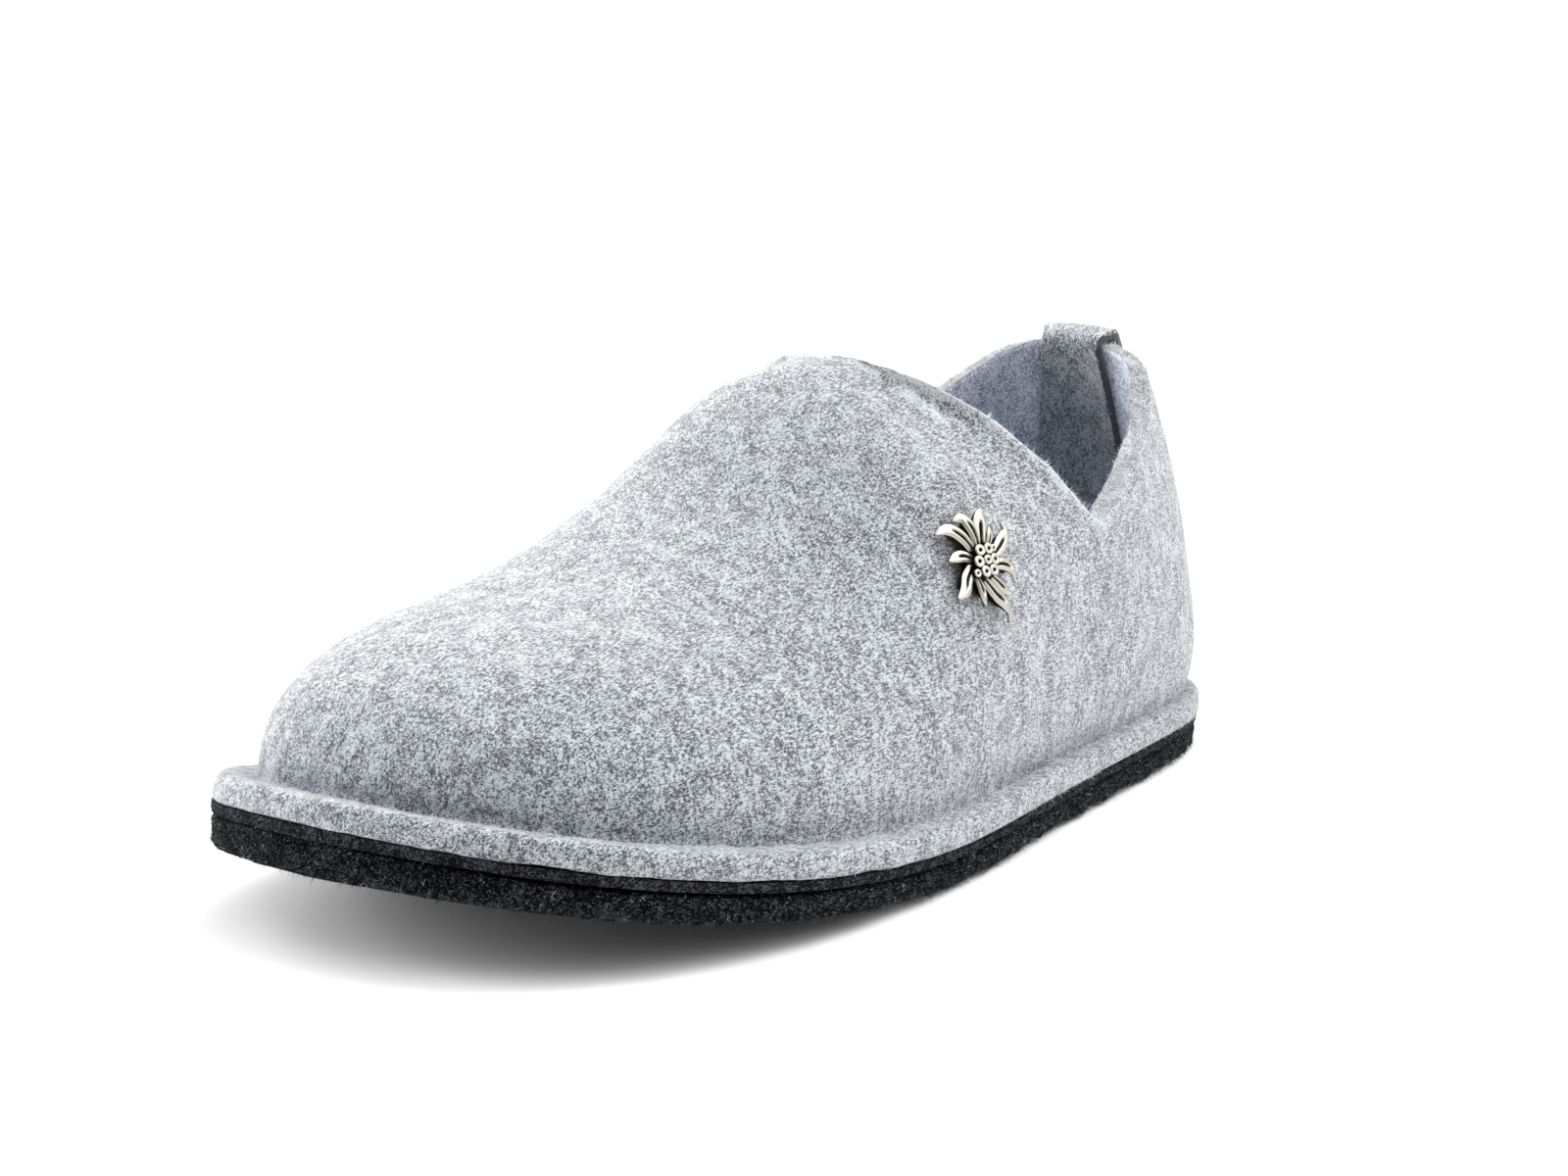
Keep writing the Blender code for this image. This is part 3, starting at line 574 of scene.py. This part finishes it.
# The glued layers touch, so its faces go out to meet the flange and the outsole
flat[:, 2] += np.sign(outward[:, 2]) * CLOSE_GAP_MM * MM * (np.abs(outward[:, 2]) > 0.3)
move = (ripples(flat, LAYER_WAVES) - 0.10) * on_side
set_points(middle_layer, flat + outward * move[:, None] * MM)
middle_layer.data.materials.append(mid_felt)
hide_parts("midsole")
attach(middle_layer, "root")

# %% Shape the outsole
SOLE_WAVES = [(9.0, 21, 0.28), (3.0, 22, 0.24)]
TORN_WAVES = [(2.4, 23, 0.7), (7.0, 24, 0.5)]

sole = copy_of("outsole", "felt_outsole")
soften(sole, 2, 0.9)
rough = points_of(sole)
outward = normals_of(sole)
on_side = 1.0 - ease(np.abs(outward[:, 2]), 0.75, 0.98)
move = ripples(rough, SOLE_WAVES) * on_side
rough = rough + outward * np.clip(move, -0.6, 0.35)[:, None] * MM
# The lower edge was torn a little by the knife
low_edge = on_side * (outward[:, 2] < -0.2)
rough[:, 2] += low_edge * np.clip(ripples(rough, TORN_WAVES), 0.0, 1.0) * MM
set_points(sole, rough)
sole.data.materials.append(dark_felt)
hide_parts("outsole")
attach(sole, "root")

# %% [markdown]
# ## Antique silver
# The flower is a cast zinc alloy, plated with silver, dipped in an oxidising bath and polished
# bright again with a cloth. The eye sees soft, slightly warm silver on what stands up and near
# black where the cloth didn't reach. How far each point was polished is kept on the mesh as an
# attribute, because the shader can't know which grooves are deep. The same value also darkens
# the sides of the casting and the seat under the florets, partly as oxide and partly as painted
# shade under the raised petals.

# %% Make the antique silver
def antique_silver():
    made, tree, shader = new_material("antique_silver")
    rubbed_and_painted_shade = add(tree, "ShaderNodeAttribute", {"attribute_name": "rubbed_and_painted_shade"}).outputs["Fac"]
    where = add(tree, "ShaderNodeTexCoord").outputs["Object"]
    cloudy = noise(tree, where, 1400.0, 3.0)
    mixed = add(tree, "ShaderNodeMath", {"operation": "MULTIPLY_ADD"}, {1: 0.35}, {0: cloudy, 2: rubbed_and_painted_shade})
    uneven = mixed.outputs[0]
    tones = [(0.32, "060505"), (0.55, "2E2B27"), (0.80, "87837A"), (1.1, "AAA69B")]
    colour = ramp(tree, uneven, [(position, linear(tone)) for position, tone in tones])
    tree.links.new(colour, shader.inputs["Base Color"])
    dull = ramp(tree, uneven, [(0.35, grey(0.75)), (0.8, grey(0.36))])
    tree.links.new(dull, shader.inputs["Roughness"])
    shader.inputs["Metallic"].default_value = 0.85
    relief = add(tree, "ShaderNodeBump", values={"Strength": 0.25, "Distance": 0.0001},
                 links={"Height": cloudy})
    tree.links.new(relief.outputs[0], shader.inputs["Normal"])
    return made


silver = antique_silver()
print("metal made:", silver.name)

# %% [markdown]
# ## The flower
# An edelweiss has woolly petals round a head of small ring-shaped florets. Each cast petal is a
# rounded blade with a groove down its middle. One straight petal is modelled: a grid is
# shaped, given its thickness and rounded. Then each of the eleven petals is a copy that is laid
# along its own bent middle line on the wall of the shoe.

# %% Turn a closed piece's faces outwards
def face_out(piece):
    # The sum of the small pyramids under its faces is negative when a closed piece is inside out
    piece.data.calc_loop_triangles()
    spots = points_of(piece)
    corners = np.array([triangle.vertices for triangle in piece.data.loop_triangles])
    a, b, c = (spots[corners[:, k]] - spots.mean(axis=0) for k in range(3))
    if np.sum(a * np.cross(b, c)) < 0.0:
        only(piece)
        bpy.ops.object.mode_set(mode="EDIT")
        bpy.ops.mesh.select_all(action="SELECT")
        bpy.ops.mesh.flip_normals()
        bpy.ops.object.mode_set(mode="OBJECT")


# %% Find the wall behind the flower
FLOWER_AT = Vector((0.0394, 0.0025, 0.0555))
WALL_OUT = Vector((0.9, 0.0, 0.4)).normalized()
WALL_UP = Vector((-0.4, 0.0, 0.9)).normalized()
WALL_TOE = Vector((0.0, -1.0, 0.0))
LIFT_OFF_MM = 0.35
RAY_MM = 20.0


def on_wall(toe_mm, up_mm, out_mm):
    # A point of the shoe's wall, so many millimetres from the middle of the flower
    start = FLOWER_AT + WALL_TOE * (toe_mm * MM) + WALL_UP * (up_mm * MM) + WALL_OUT * (RAY_MM * MM)
    hit, spot, _normal, _face = shell.ray_cast(start, -WALL_OUT, distance=2.0 * RAY_MM * MM)
    ground = spot if hit else start - WALL_OUT * (RAY_MM * MM)
    return ground + WALL_OUT * ((LIFT_OFF_MM + out_mm) * MM)


def lay(piece, toes, ups, outs):
    laid = [on_wall(*values) for values in zip(toes, ups, outs)]
    set_points(piece, np.array([tuple(point) for point in laid]))


# %% Model one straight petal
STATIONS = (0.0, 0.18, 0.45, 0.68, 0.84, 0.93, 1.0)
HALF_WIDTHS = (0.66, 0.80, 1.0, 0.88, 0.54, 0.31, 0.10)
GROOVE_WIDE = 0.17

bpy.ops.object.select_all(action="DESELECT")
bpy.ops.mesh.primitive_grid_add(x_subdivisions=14, y_subdivisions=12, size=1.0, location=(0.5, 0.0, 0.0))
petal = bpy.context.object
petal.name = "petal"
bpy.ops.object.transform_apply(location=True, rotation=False, scale=False)
shape = points_of(petal)
along, across = shape[:, 0].copy(), shape[:, 1] * 2.0
half = np.interp(along, STATIONS, HALF_WIDTHS)
crown = 1.0 - 0.55 * np.abs(across) ** 2.8
groove = 0.75 * np.exp(-(across / GROOVE_WIDE) ** 2) * (1.0 - ease(along, 0.48, 0.66))
shape[:, 1] = across * half
shape[:, 2] = crown - groove
set_points(petal, shape)
# The cloth reached the crown and most of all the tip, but not the groove, the rim and the root
reached = np.clip(1.12 - 2.8 * groove, 0.0, 1.0) * (1.0 - ease(np.abs(across), 0.90, 1.0))
keep_value(petal, "rubbed_and_painted_shade", np.maximum(reached * ease(along, 0.0, 0.10), 2.4 * ease(along, 0.84, 0.97)))
thick = petal.vertex_groups.new(name="thick")
for number, share in enumerate(1.0 - 0.78 * ease(along, 0.5, 1.0)):
    thick.add([number], float(share), "REPLACE")
print("one petal has", len(petal.data.polygons), "faces before its thickness")

# %% [markdown]
# The petals differ in length and bend, so their middle lines are listed one by one: each row gives
# points in millimetres from the middle of the flower, towards the toe and up, then the width of
# the blade and how far its tip stands up from the wall or bows down to it.

# %% Place the petals
PETALS = [
    {"line": [(1.0, 3.6), (-0.4, 7.2), (-2.7, 10.2)], "wide": 4.4, "tip": 0.7},
    {"line": [(2.1, 3.2), (2.2, 6.2), (2.9, 8.3), (3.9, 9.3), (6.0, 9.0)], "wide": 3.2, "tip": 0.3},
    {"line": [(3.6, 2.0), (5.0, 5.2), (6.9, 7.2), (9.0, 7.9), (11.9, 7.4)], "wide": 3.2, "tip": 0.8},
    {"line": [(4.3, 0.6), (6.6, 2.1), (8.5, 2.4), (11.8, 2.0)], "wide": 2.8, "tip": 0.6},
    {"line": [(5.2, 0.2), (8.6, -2.0), (10.7, -3.9), (14.2, -5.1)], "wide": 3.4, "tip": 0.8},
    {"line": [(5.5, -1.6), (5.5, -4.6), (5.3, -7.8)], "wide": 2.4, "tip": 0.2},
    {"line": [(3.8, -2.4), (1.7, -5.7), (-0.7, -8.0), (-1.7, -9.9), (-0.7, -11.9)], "wide": 3.8, "tip": 0.7},
    {"line": [(1.4, -2.4), (-1.0, -4.7), (-3.3, -6.2), (-4.9, -7.0)], "wide": 2.7, "tip": 0.2},
    {"line": [(-1.0, -0.7), (-4.6, -1.2), (-6.5, -2.7), (-6.6, -5.1)], "wide": 3.0, "tip": 0.6},
    {"line": [(-1.6, 1.0), (-5.0, 2.6), (-8.0, 4.6), (-7.5, 6.5)], "wide": 3.6, "tip": 0.7},
    {"line": [(-0.8, 3.1), (-2.4, 4.8), (-3.8, 6.5)], "wide": 1.9, "tip": 0.1},
]
PETAL_HIGH = 1.25
PETAL_THICK = 2.0
SEAT_MM = 0.6
BOW_MM = 0.5
CURVE_STEPS = 12


def bent_line(points, shares):
    # A smooth curve through the points, read at shares of its length, with its own direction
    rows = np.array(points)
    ends = np.vstack([2 * rows[0] - rows[1], rows, 2 * rows[-1] - rows[-2]])
    dense = []
    for k in range(len(rows) - 1):
        p0, p1, p2, p3 = ends[k:k + 4]
        for t in np.linspace(0.0, 1.0, CURVE_STEPS, endpoint=False):
            dense.append(0.5 * (2 * p1 + (p2 - p0) * t + (2 * p0 - 5 * p1 + 4 * p2 - p3) * t ** 2
                                + (3 * p1 - p0 - 3 * p2 + p3) * t ** 3))
    dense = np.array(dense + [rows[-1]])
    run = np.concatenate([[0.0], np.cumsum(np.linalg.norm(np.diff(dense, axis=0), axis=1))])

    def read(at):
        return np.stack([np.interp(at * run[-1], run, dense[:, k]) for k in (0, 1)], axis=1)

    way = read(shares + 0.02) - read(shares - 0.02)
    return read(shares), way / np.linalg.norm(way, axis=1)[:, None]


parts = []
for number, row in enumerate(PETALS):
    blade = petal.copy()
    blade.data = petal.data.copy()
    blade.name = "petal_%d" % number
    scene.collection.objects.link(blade)
    flat = points_of(blade)
    spots, way = bent_line(row["line"], flat[:, 0])
    side = flat[:, 1] * row["wide"] * 0.5
    toe = spots[:, 0] - way[:, 1] * side
    up = spots[:, 1] + way[:, 0] * side
    rise = SEAT_MM + row["tip"] * ease(flat[:, 0], 0.35, 1.0) + BOW_MM * np.sin(np.pi * flat[:, 0])
    lay(blade, toe, up, rise + flat[:, 2] * PETAL_HIGH * (1.0 - 0.35 * flat[:, 0]))
    wall = blade.modifiers.new("thickness", "SOLIDIFY")
    wall.thickness = PETAL_THICK * MM
    wall.offset = 1.0
    wall.vertex_group = "thick"
    rounding = blade.modifiers.new("rounding", "SUBSURF")
    rounding.levels = 1
    rounding.render_levels = 1
    apply_all(blade)
    parts.append(blade)
bpy.data.objects.remove(petal)
print(len(parts), "petals are laid on the wall")

# %% [markdown]
# The florets are small rings with a pit in the middle. One starts as a cylinder: its top is
# inset and pressed in, and a Subdivision Surface rounds its rims. The copies stand close together
# on the head, and they are a little wider along the shoe than up it, as on the casting.

# %% Model one floret
bpy.ops.object.select_all(action="DESELECT")
bpy.ops.mesh.primitive_cylinder_add(vertices=20, radius=1.0, depth=1.0, location=(0.0, 0.0, 0.0))
floret = bpy.context.object
floret.name = "floret"
bpy.ops.object.mode_set(mode="EDIT")
bpy.ops.mesh.select_mode(type="FACE")
bpy.ops.mesh.select_all(action="DESELECT")
bpy.ops.object.mode_set(mode="OBJECT")
for face in floret.data.polygons:
    face.select = face.normal.z > 0.9
bpy.ops.object.mode_set(mode="EDIT")
bpy.ops.mesh.inset(thickness=0.14, depth=0.16)
bpy.ops.mesh.inset(thickness=0.56, depth=0.0)
bpy.ops.mesh.inset(thickness=0.08, depth=-0.45)
bpy.ops.mesh.select_all(action="DESELECT")
bpy.ops.object.mode_set(mode="OBJECT")
rounding = floret.modifiers.new("rounding", "SUBSURF")
rounding.levels = 1
rounding.render_levels = 1
apply_all(floret)
ring = points_of(floret)
far = np.hypot(ring[:, 0], ring[:, 1])
keep_value(floret, "rubbed_and_painted_shade", ease(ring[:, 2], 0.22, 0.46) * ease(far, 0.26, 0.40))
print("one floret has", len(floret.data.polygons), "faces")

# %% Place the florets on the head
HEAD = (2.5, 0.4)
HEAD_HIGH = 2.6
FLORET_WIDE = 1.36
FLORET_TALL = 1.16
FLORET_HIGH = 1.1
FLORETS = [
    {"toe": 3.5, "up": 2.5, "size": 1.0},
    {"toe": 1.0, "up": 2.4, "size": 1.0},
    {"toe": 4.8, "up": 0.5, "size": 1.04},
    {"toe": 2.5, "up": 0.4, "size": 0.86},
    {"toe": 0.1, "up": 0.2, "size": 1.02},
    {"toe": 3.8, "up": -1.6, "size": 1.04},
    {"toe": 1.4, "up": -1.7, "size": 1.0},
    {"toe": -0.9, "up": 2.3, "size": 0.66},
    {"toe": 6.0, "up": -1.5, "size": 0.74},
]
for number, row in enumerate(FLORETS):
    head = floret.copy()
    head.data = floret.data.copy()
    head.name = "floret_%d" % number
    scene.collection.objects.link(head)
    round_one = points_of(head)
    toe = row["toe"] + 0.25 + round_one[:, 0] * FLORET_WIDE * row["size"]
    up = row["up"] + round_one[:, 1] * FLORET_TALL * row["size"]
    off_middle = math.hypot(row["toe"] - HEAD[0], row["up"] - HEAD[1])
    lay(head, toe, up, HEAD_HIGH - 0.03 * off_middle ** 2 + round_one[:, 2] * FLORET_HIGH)
    parts.append(head)
bpy.data.objects.remove(floret)
print(len(FLORETS), "florets stand on the head")

# %% Add the seat under the florets and join the casting
SEAT_SIZE = (4.4, 3.7, 1.2)
SEAT_HIGH = 1.1

bpy.ops.object.select_all(action="DESELECT")
bpy.ops.mesh.primitive_uv_sphere_add(segments=28, ring_count=14, radius=1.0, location=(0.0, 0.0, 0.0))
seat = bpy.context.object
seat.name = "seat"
dome = points_of(seat) * np.array(SEAT_SIZE)
lay(seat, HEAD[0] + dome[:, 0], HEAD[1] + dome[:, 1], SEAT_HIGH + dome[:, 2])
# The seat stays dark all over: oxide between the florets and painted shade under the petals
keep_value(seat, "rubbed_and_painted_shade", np.zeros(len(dome)))
for part in parts + [seat]:
    face_out(part)
only(seat)
for part in parts:
    part.select_set(True)
bpy.ops.object.join()
flower = bpy.context.object
flower.name = "edelweiss_ornament"
bpy.ops.object.shade_smooth()
# The sides that don't face out from the wall get darker: partly oxide the cloth missed, partly painted shade
# under the raised petals
reached = np.empty(len(flower.data.vertices))
flower.data.attributes["rubbed_and_painted_shade"].data.foreach_get("value", reached)
facing = normals_of(flower) @ np.array(WALL_OUT)
flower.data.attributes["rubbed_and_painted_shade"].data.foreach_set("value", reached * ease(facing, 0.15, 0.55))
flower.data.materials.clear()
flower.data.materials.append(silver)
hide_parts("edelweiss")
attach(flower, "root")
print("the flower has", len(flower.data.polygons), "faces")

# %% [markdown]
# ## Loose fibres
# No felt has a clean outline. Single wool fibres stand out of it, most of all where it was cut,
# and against the light they soften every edge. A hair system would grow them, but a mesh is kept
# when the part is exported. One fibre is modelled: a three-sided cone, cut twice across so that
# it can bend. Thousands of copies are then planted on the felt by area, from a fixed seed.

# %% Model one fibre
bpy.ops.object.select_all(action="DESELECT")
bpy.ops.mesh.primitive_cone_add(vertices=3, radius1=1.0, radius2=0.0, depth=1.0, location=(0.0, 0.0, 0.5))
fibre = bpy.context.object
fibre.name = "one_fibre"
bpy.ops.object.transform_apply(location=True, rotation=False, scale=False)
bpy.ops.object.mode_set(mode="EDIT")
for height in (0.35, 0.7):
    bpy.ops.mesh.select_all(action="SELECT")
    bpy.ops.mesh.bisect(plane_co=(0.0, 0.0, height), plane_no=(0.0, 0.0, 1.0))
bpy.ops.object.mode_set(mode="OBJECT")
FIBRE_POINTS = points_of(fibre)
FIBRE_FACES = [list(face.vertices) for face in fibre.data.polygons]
bpy.data.objects.remove(fibre)
print("one fibre has", len(FIBRE_FACES), "faces")


# %% Plant fibres on a piece
ROOT_DEEP = 0.00008
FLOOR_CLEAR = 0.0001
LONGEST = 3.0
CURL = 0.6


def unit(ways):
    return ways / np.linalg.norm(ways, axis=1)[:, None]


def plant(name, carrier, count, length_mm, thick_mm, paint, seed, where=None, stand=0.55, spread=0.5):
    # stand: 1 for upright fibres, 0 for fibres that lie along the felt; where: a share for each face
    dice = np.random.default_rng(seed)
    sizes = np.empty(len(carrier.data.polygons))
    carrier.data.polygons.foreach_get("area", sizes)
    middle, looks = faces_of(carrier)
    wanted = sizes * (where(middle, looks) if where else 1.0)
    picked = dice.choice(len(sizes), size=count, p=wanted / wanted.sum())
    out = looks[picked]
    # Each root lies somewhere on its face
    side = unit(np.cross(out, dice.normal(size=(count, 3))))
    other = np.cross(out, side)
    across = np.sqrt(sizes[picked])[:, None]
    roots = middle[picked] + side * across * dice.uniform(-0.5, 0.5, (count, 1))
    roots = roots + other * across * dice.uniform(-0.5, 0.5, (count, 1))
    # Each fibre leans its own way, and bends towards another
    angle = dice.uniform(0.0, 2.0 * math.pi, (count, 1))
    lying = side * np.cos(angle) + other * np.sin(angle)
    lift = np.clip(stand + dice.normal(0.0, 0.2, (count, 1)), 0.05, 1.0)
    way = unit(out * lift + lying * (1.0 - lift))
    bend = unit(np.cross(way, dice.normal(size=(count, 3))))
    flank = np.cross(way, bend)
    length = length_mm * MM * np.exp(dice.normal(0.0, spread, (count, 1)))
    length = np.minimum(length, length_mm * MM * LONGEST)
    curl = dice.uniform(-CURL, CURL, (count, 1)) * length
    # The one fibre is copied along each of these ways
    x, y, z = (FIBRE_POINTS[:, k][None, :, None] for k in range(3))
    thick = thick_mm * MM * 0.5
    body = (roots - out * ROOT_DEEP)[:, None, :] + (way * length)[:, None, :] * z
    body = body + (bend * curl)[:, None, :] * z * z
    body = body + bend[:, None, :] * (x * thick) + flank[:, None, :] * (y * thick)
    body[:, :, 2] = np.maximum(body[:, :, 2], FLOOR_CLEAR)
    stride = len(FIBRE_POINTS)
    faces = [[corner + k * stride for corner in face] for k in range(count) for face in FIBRE_FACES]
    made_mesh = bpy.data.meshes.new(name)
    made_mesh.from_pydata(body.reshape(-1, 3), [], faces)
    made_mesh.materials.append(paint)
    made = bpy.data.objects.new(name, made_mesh)
    scene.collection.objects.link(made)
    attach(made, "root")
    print(name, "has", count, "fibres")


# %% [markdown]
# A single wool fibre is a thin clear-white scale-covered hair. It scatters light through its
# whole width, so it looks like a pale matt line on dark felt and melts into pale felt.

# %% Make the loose wool
def loose_wool(name, pale, dark):
    made, tree, shader = new_material(name)
    where = add(tree, "ShaderNodeTexCoord").outputs["Object"]
    mixed = noise(tree, where, 420.0, 1.0)
    colour = ramp(tree, mixed, [(0.40, linear(dark)), (0.58, linear(pale))])
    tree.links.new(colour, shader.inputs["Base Color"])
    shader.inputs["Roughness"].default_value = 0.7
    shader.inputs["Specular IOR Level"].default_value = 0.3
    return made


pale_wool = loose_wool("loose_pale_wool", "E4E6E8", "A2A7AD")
dark_wool = loose_wool("loose_dark_wool", "55585C", "141516")
print("loose wool made:", pale_wool.name, dark_wool.name)


# %% Let the fibres stand where the felt was cut
FLANGE_TOP = 0.0135
TOE_RISE = 0.016
TOE_END = 0.135
FLANGE_UNDER = 0.0087


def shell_share(middle, looks):
    # Few fibres on the moulded faces, many on the flange and none where it lies on the sole
    share = np.full(len(middle), 0.35)
    flange_top = FLANGE_TOP + TOE_RISE * ease(-middle[:, 1], 0.0, TOE_END)
    share[middle[:, 2] < flange_top] = 1.6
    share[middle[:, 2] < FLANGE_UNDER] = 0.0
    return share


def rim_share(middle, looks):
    return np.where(cut, 1.0, 0.0)


plant("shell_fibres", shell, 9000, 0.6, 0.06, pale_wool, 11, shell_share)
plant("collar_fibres", shell, 4800, 0.9, 0.13, pale_wool, 15, rim_share, stand=0.6)


def sole_share(middle, looks):
    # Only the cut side and the lower rim of the outsole show
    outward = np.abs(looks[:, 2]) < 0.75
    return np.where(outward, 1.0, 0.015)


def near_bottom(piece, reach):
    # The lowest millimetre or so of a piece's side
    bottom = {corner for face in piece.data.polygons if face.normal.z < -0.9 for corner in face.vertices}
    under = KDTree(len(bottom))
    for number, corner in enumerate(bottom):
        under.insert(piece.data.vertices[corner].co, number)
    under.balance()

    def share(middle, looks):
        near = np.array([under.find(Vector(spot))[2] for spot in middle])
        return np.where((near < reach) & (np.abs(looks[:, 2]) < 0.85), 1.0, 0.0)

    return share


plant("flange_edge_fibres", shell, 3000, 0.5, 0.08, pale_wool, 18,
      near_bottom(shell, 0.9 * MM), stand=0.4)
plant("outsole_fibres", sole, 9000, 0.6, 0.08, dark_wool, 12, sole_share)
plant("outsole_pale_fibres", sole, 3000, 0.5, 0.07, pale_wool, 13, sole_share, stand=0.2)
plant("outsole_hanging_fibres", sole, 3600, 0.9, 0.08, dark_wool, 16,
      near_bottom(sole, 1.4 * MM), stand=0.45, spread=0.6)
plant("middle_fibres", middle_layer, 2600, 0.4, 0.06, dark_wool, 17, sole_share, stand=0.4)
plant("strip_fibres", strip, 900, 0.5, 0.07, pale_wool, 14)

# %% [markdown]
# ## The floor and the light
# White paper lies under the slipper. Two wide low windows stand at its inner side and reach far
# under the toe, a faint one stands in front, two lamps stand behind it, and one hangs above. The
# white room fills every shadow a little. Area lamps would do as well, but a sun with a wide angle
# gives the same soft light from the same side over the whole floor.

# %% Lay the floor
FLOOR_SIZE = 40.0

bpy.ops.object.select_all(action="DESELECT")
bpy.ops.mesh.primitive_plane_add(size=FLOOR_SIZE, location=(0.0, 0.0, 0.0))
floor = bpy.context.object
floor.name = "paper_floor"
paper, _paper_tree, paper_shader = new_material("white_paper")
paper_shader.inputs["Base Color"].default_value = linear("F0F0F0")
paper_shader.inputs["Roughness"].default_value = 1.0
paper_shader.inputs["Specular IOR Level"].default_value = 0.0
floor.data.materials.append(paper)
print("the floor is", FLOOR_SIZE, "m wide")

# %% Light the room
ROOM_STRENGTH = 0.34

world = bpy.data.worlds.new("white_room")
world.use_nodes = True
world.node_tree.nodes["Background"].inputs["Color"].default_value = grey(1.0)
world.node_tree.nodes["Background"].inputs["Strength"].default_value = ROOM_STRENGTH
scene.world = world


def soft_light(name, round_degrees, up_degrees, strength, softness_degrees):
    # A wide light from far away, so many degrees round from the toe by the outer side
    data = bpy.data.lights.new(name, "SUN")
    data.energy = strength
    data.angle = math.radians(softness_degrees)
    made = bpy.data.objects.new(name, data)
    scene.collection.objects.link(made)
    turned, raised = math.radians(round_degrees), math.radians(up_degrees)
    level = math.cos(raised)
    comes_from = Vector((math.sin(turned) * level, -math.cos(turned) * level, math.sin(raised)))
    made.rotation_euler = comes_from.to_track_quat("Z", "Y").to_euler()


soft_light("window_front", 338.0, 42.0, 0.7, 50.0)
soft_light("window_left_front", 296.0, 13.0, 2.8, 34.0)
soft_light("window_left", 256.0, 20.0, 2.4, 34.0)
soft_light("lamp_right_behind", 128.0, 32.0, 1.9, 50.0)
soft_light("lamp_behind", 168.0, 55.0, 2.6, 50.0)
soft_light("lamp_above", 0.0, 88.0, 1.5, 90.0)
scene.view_settings.view_transform = "Standard"
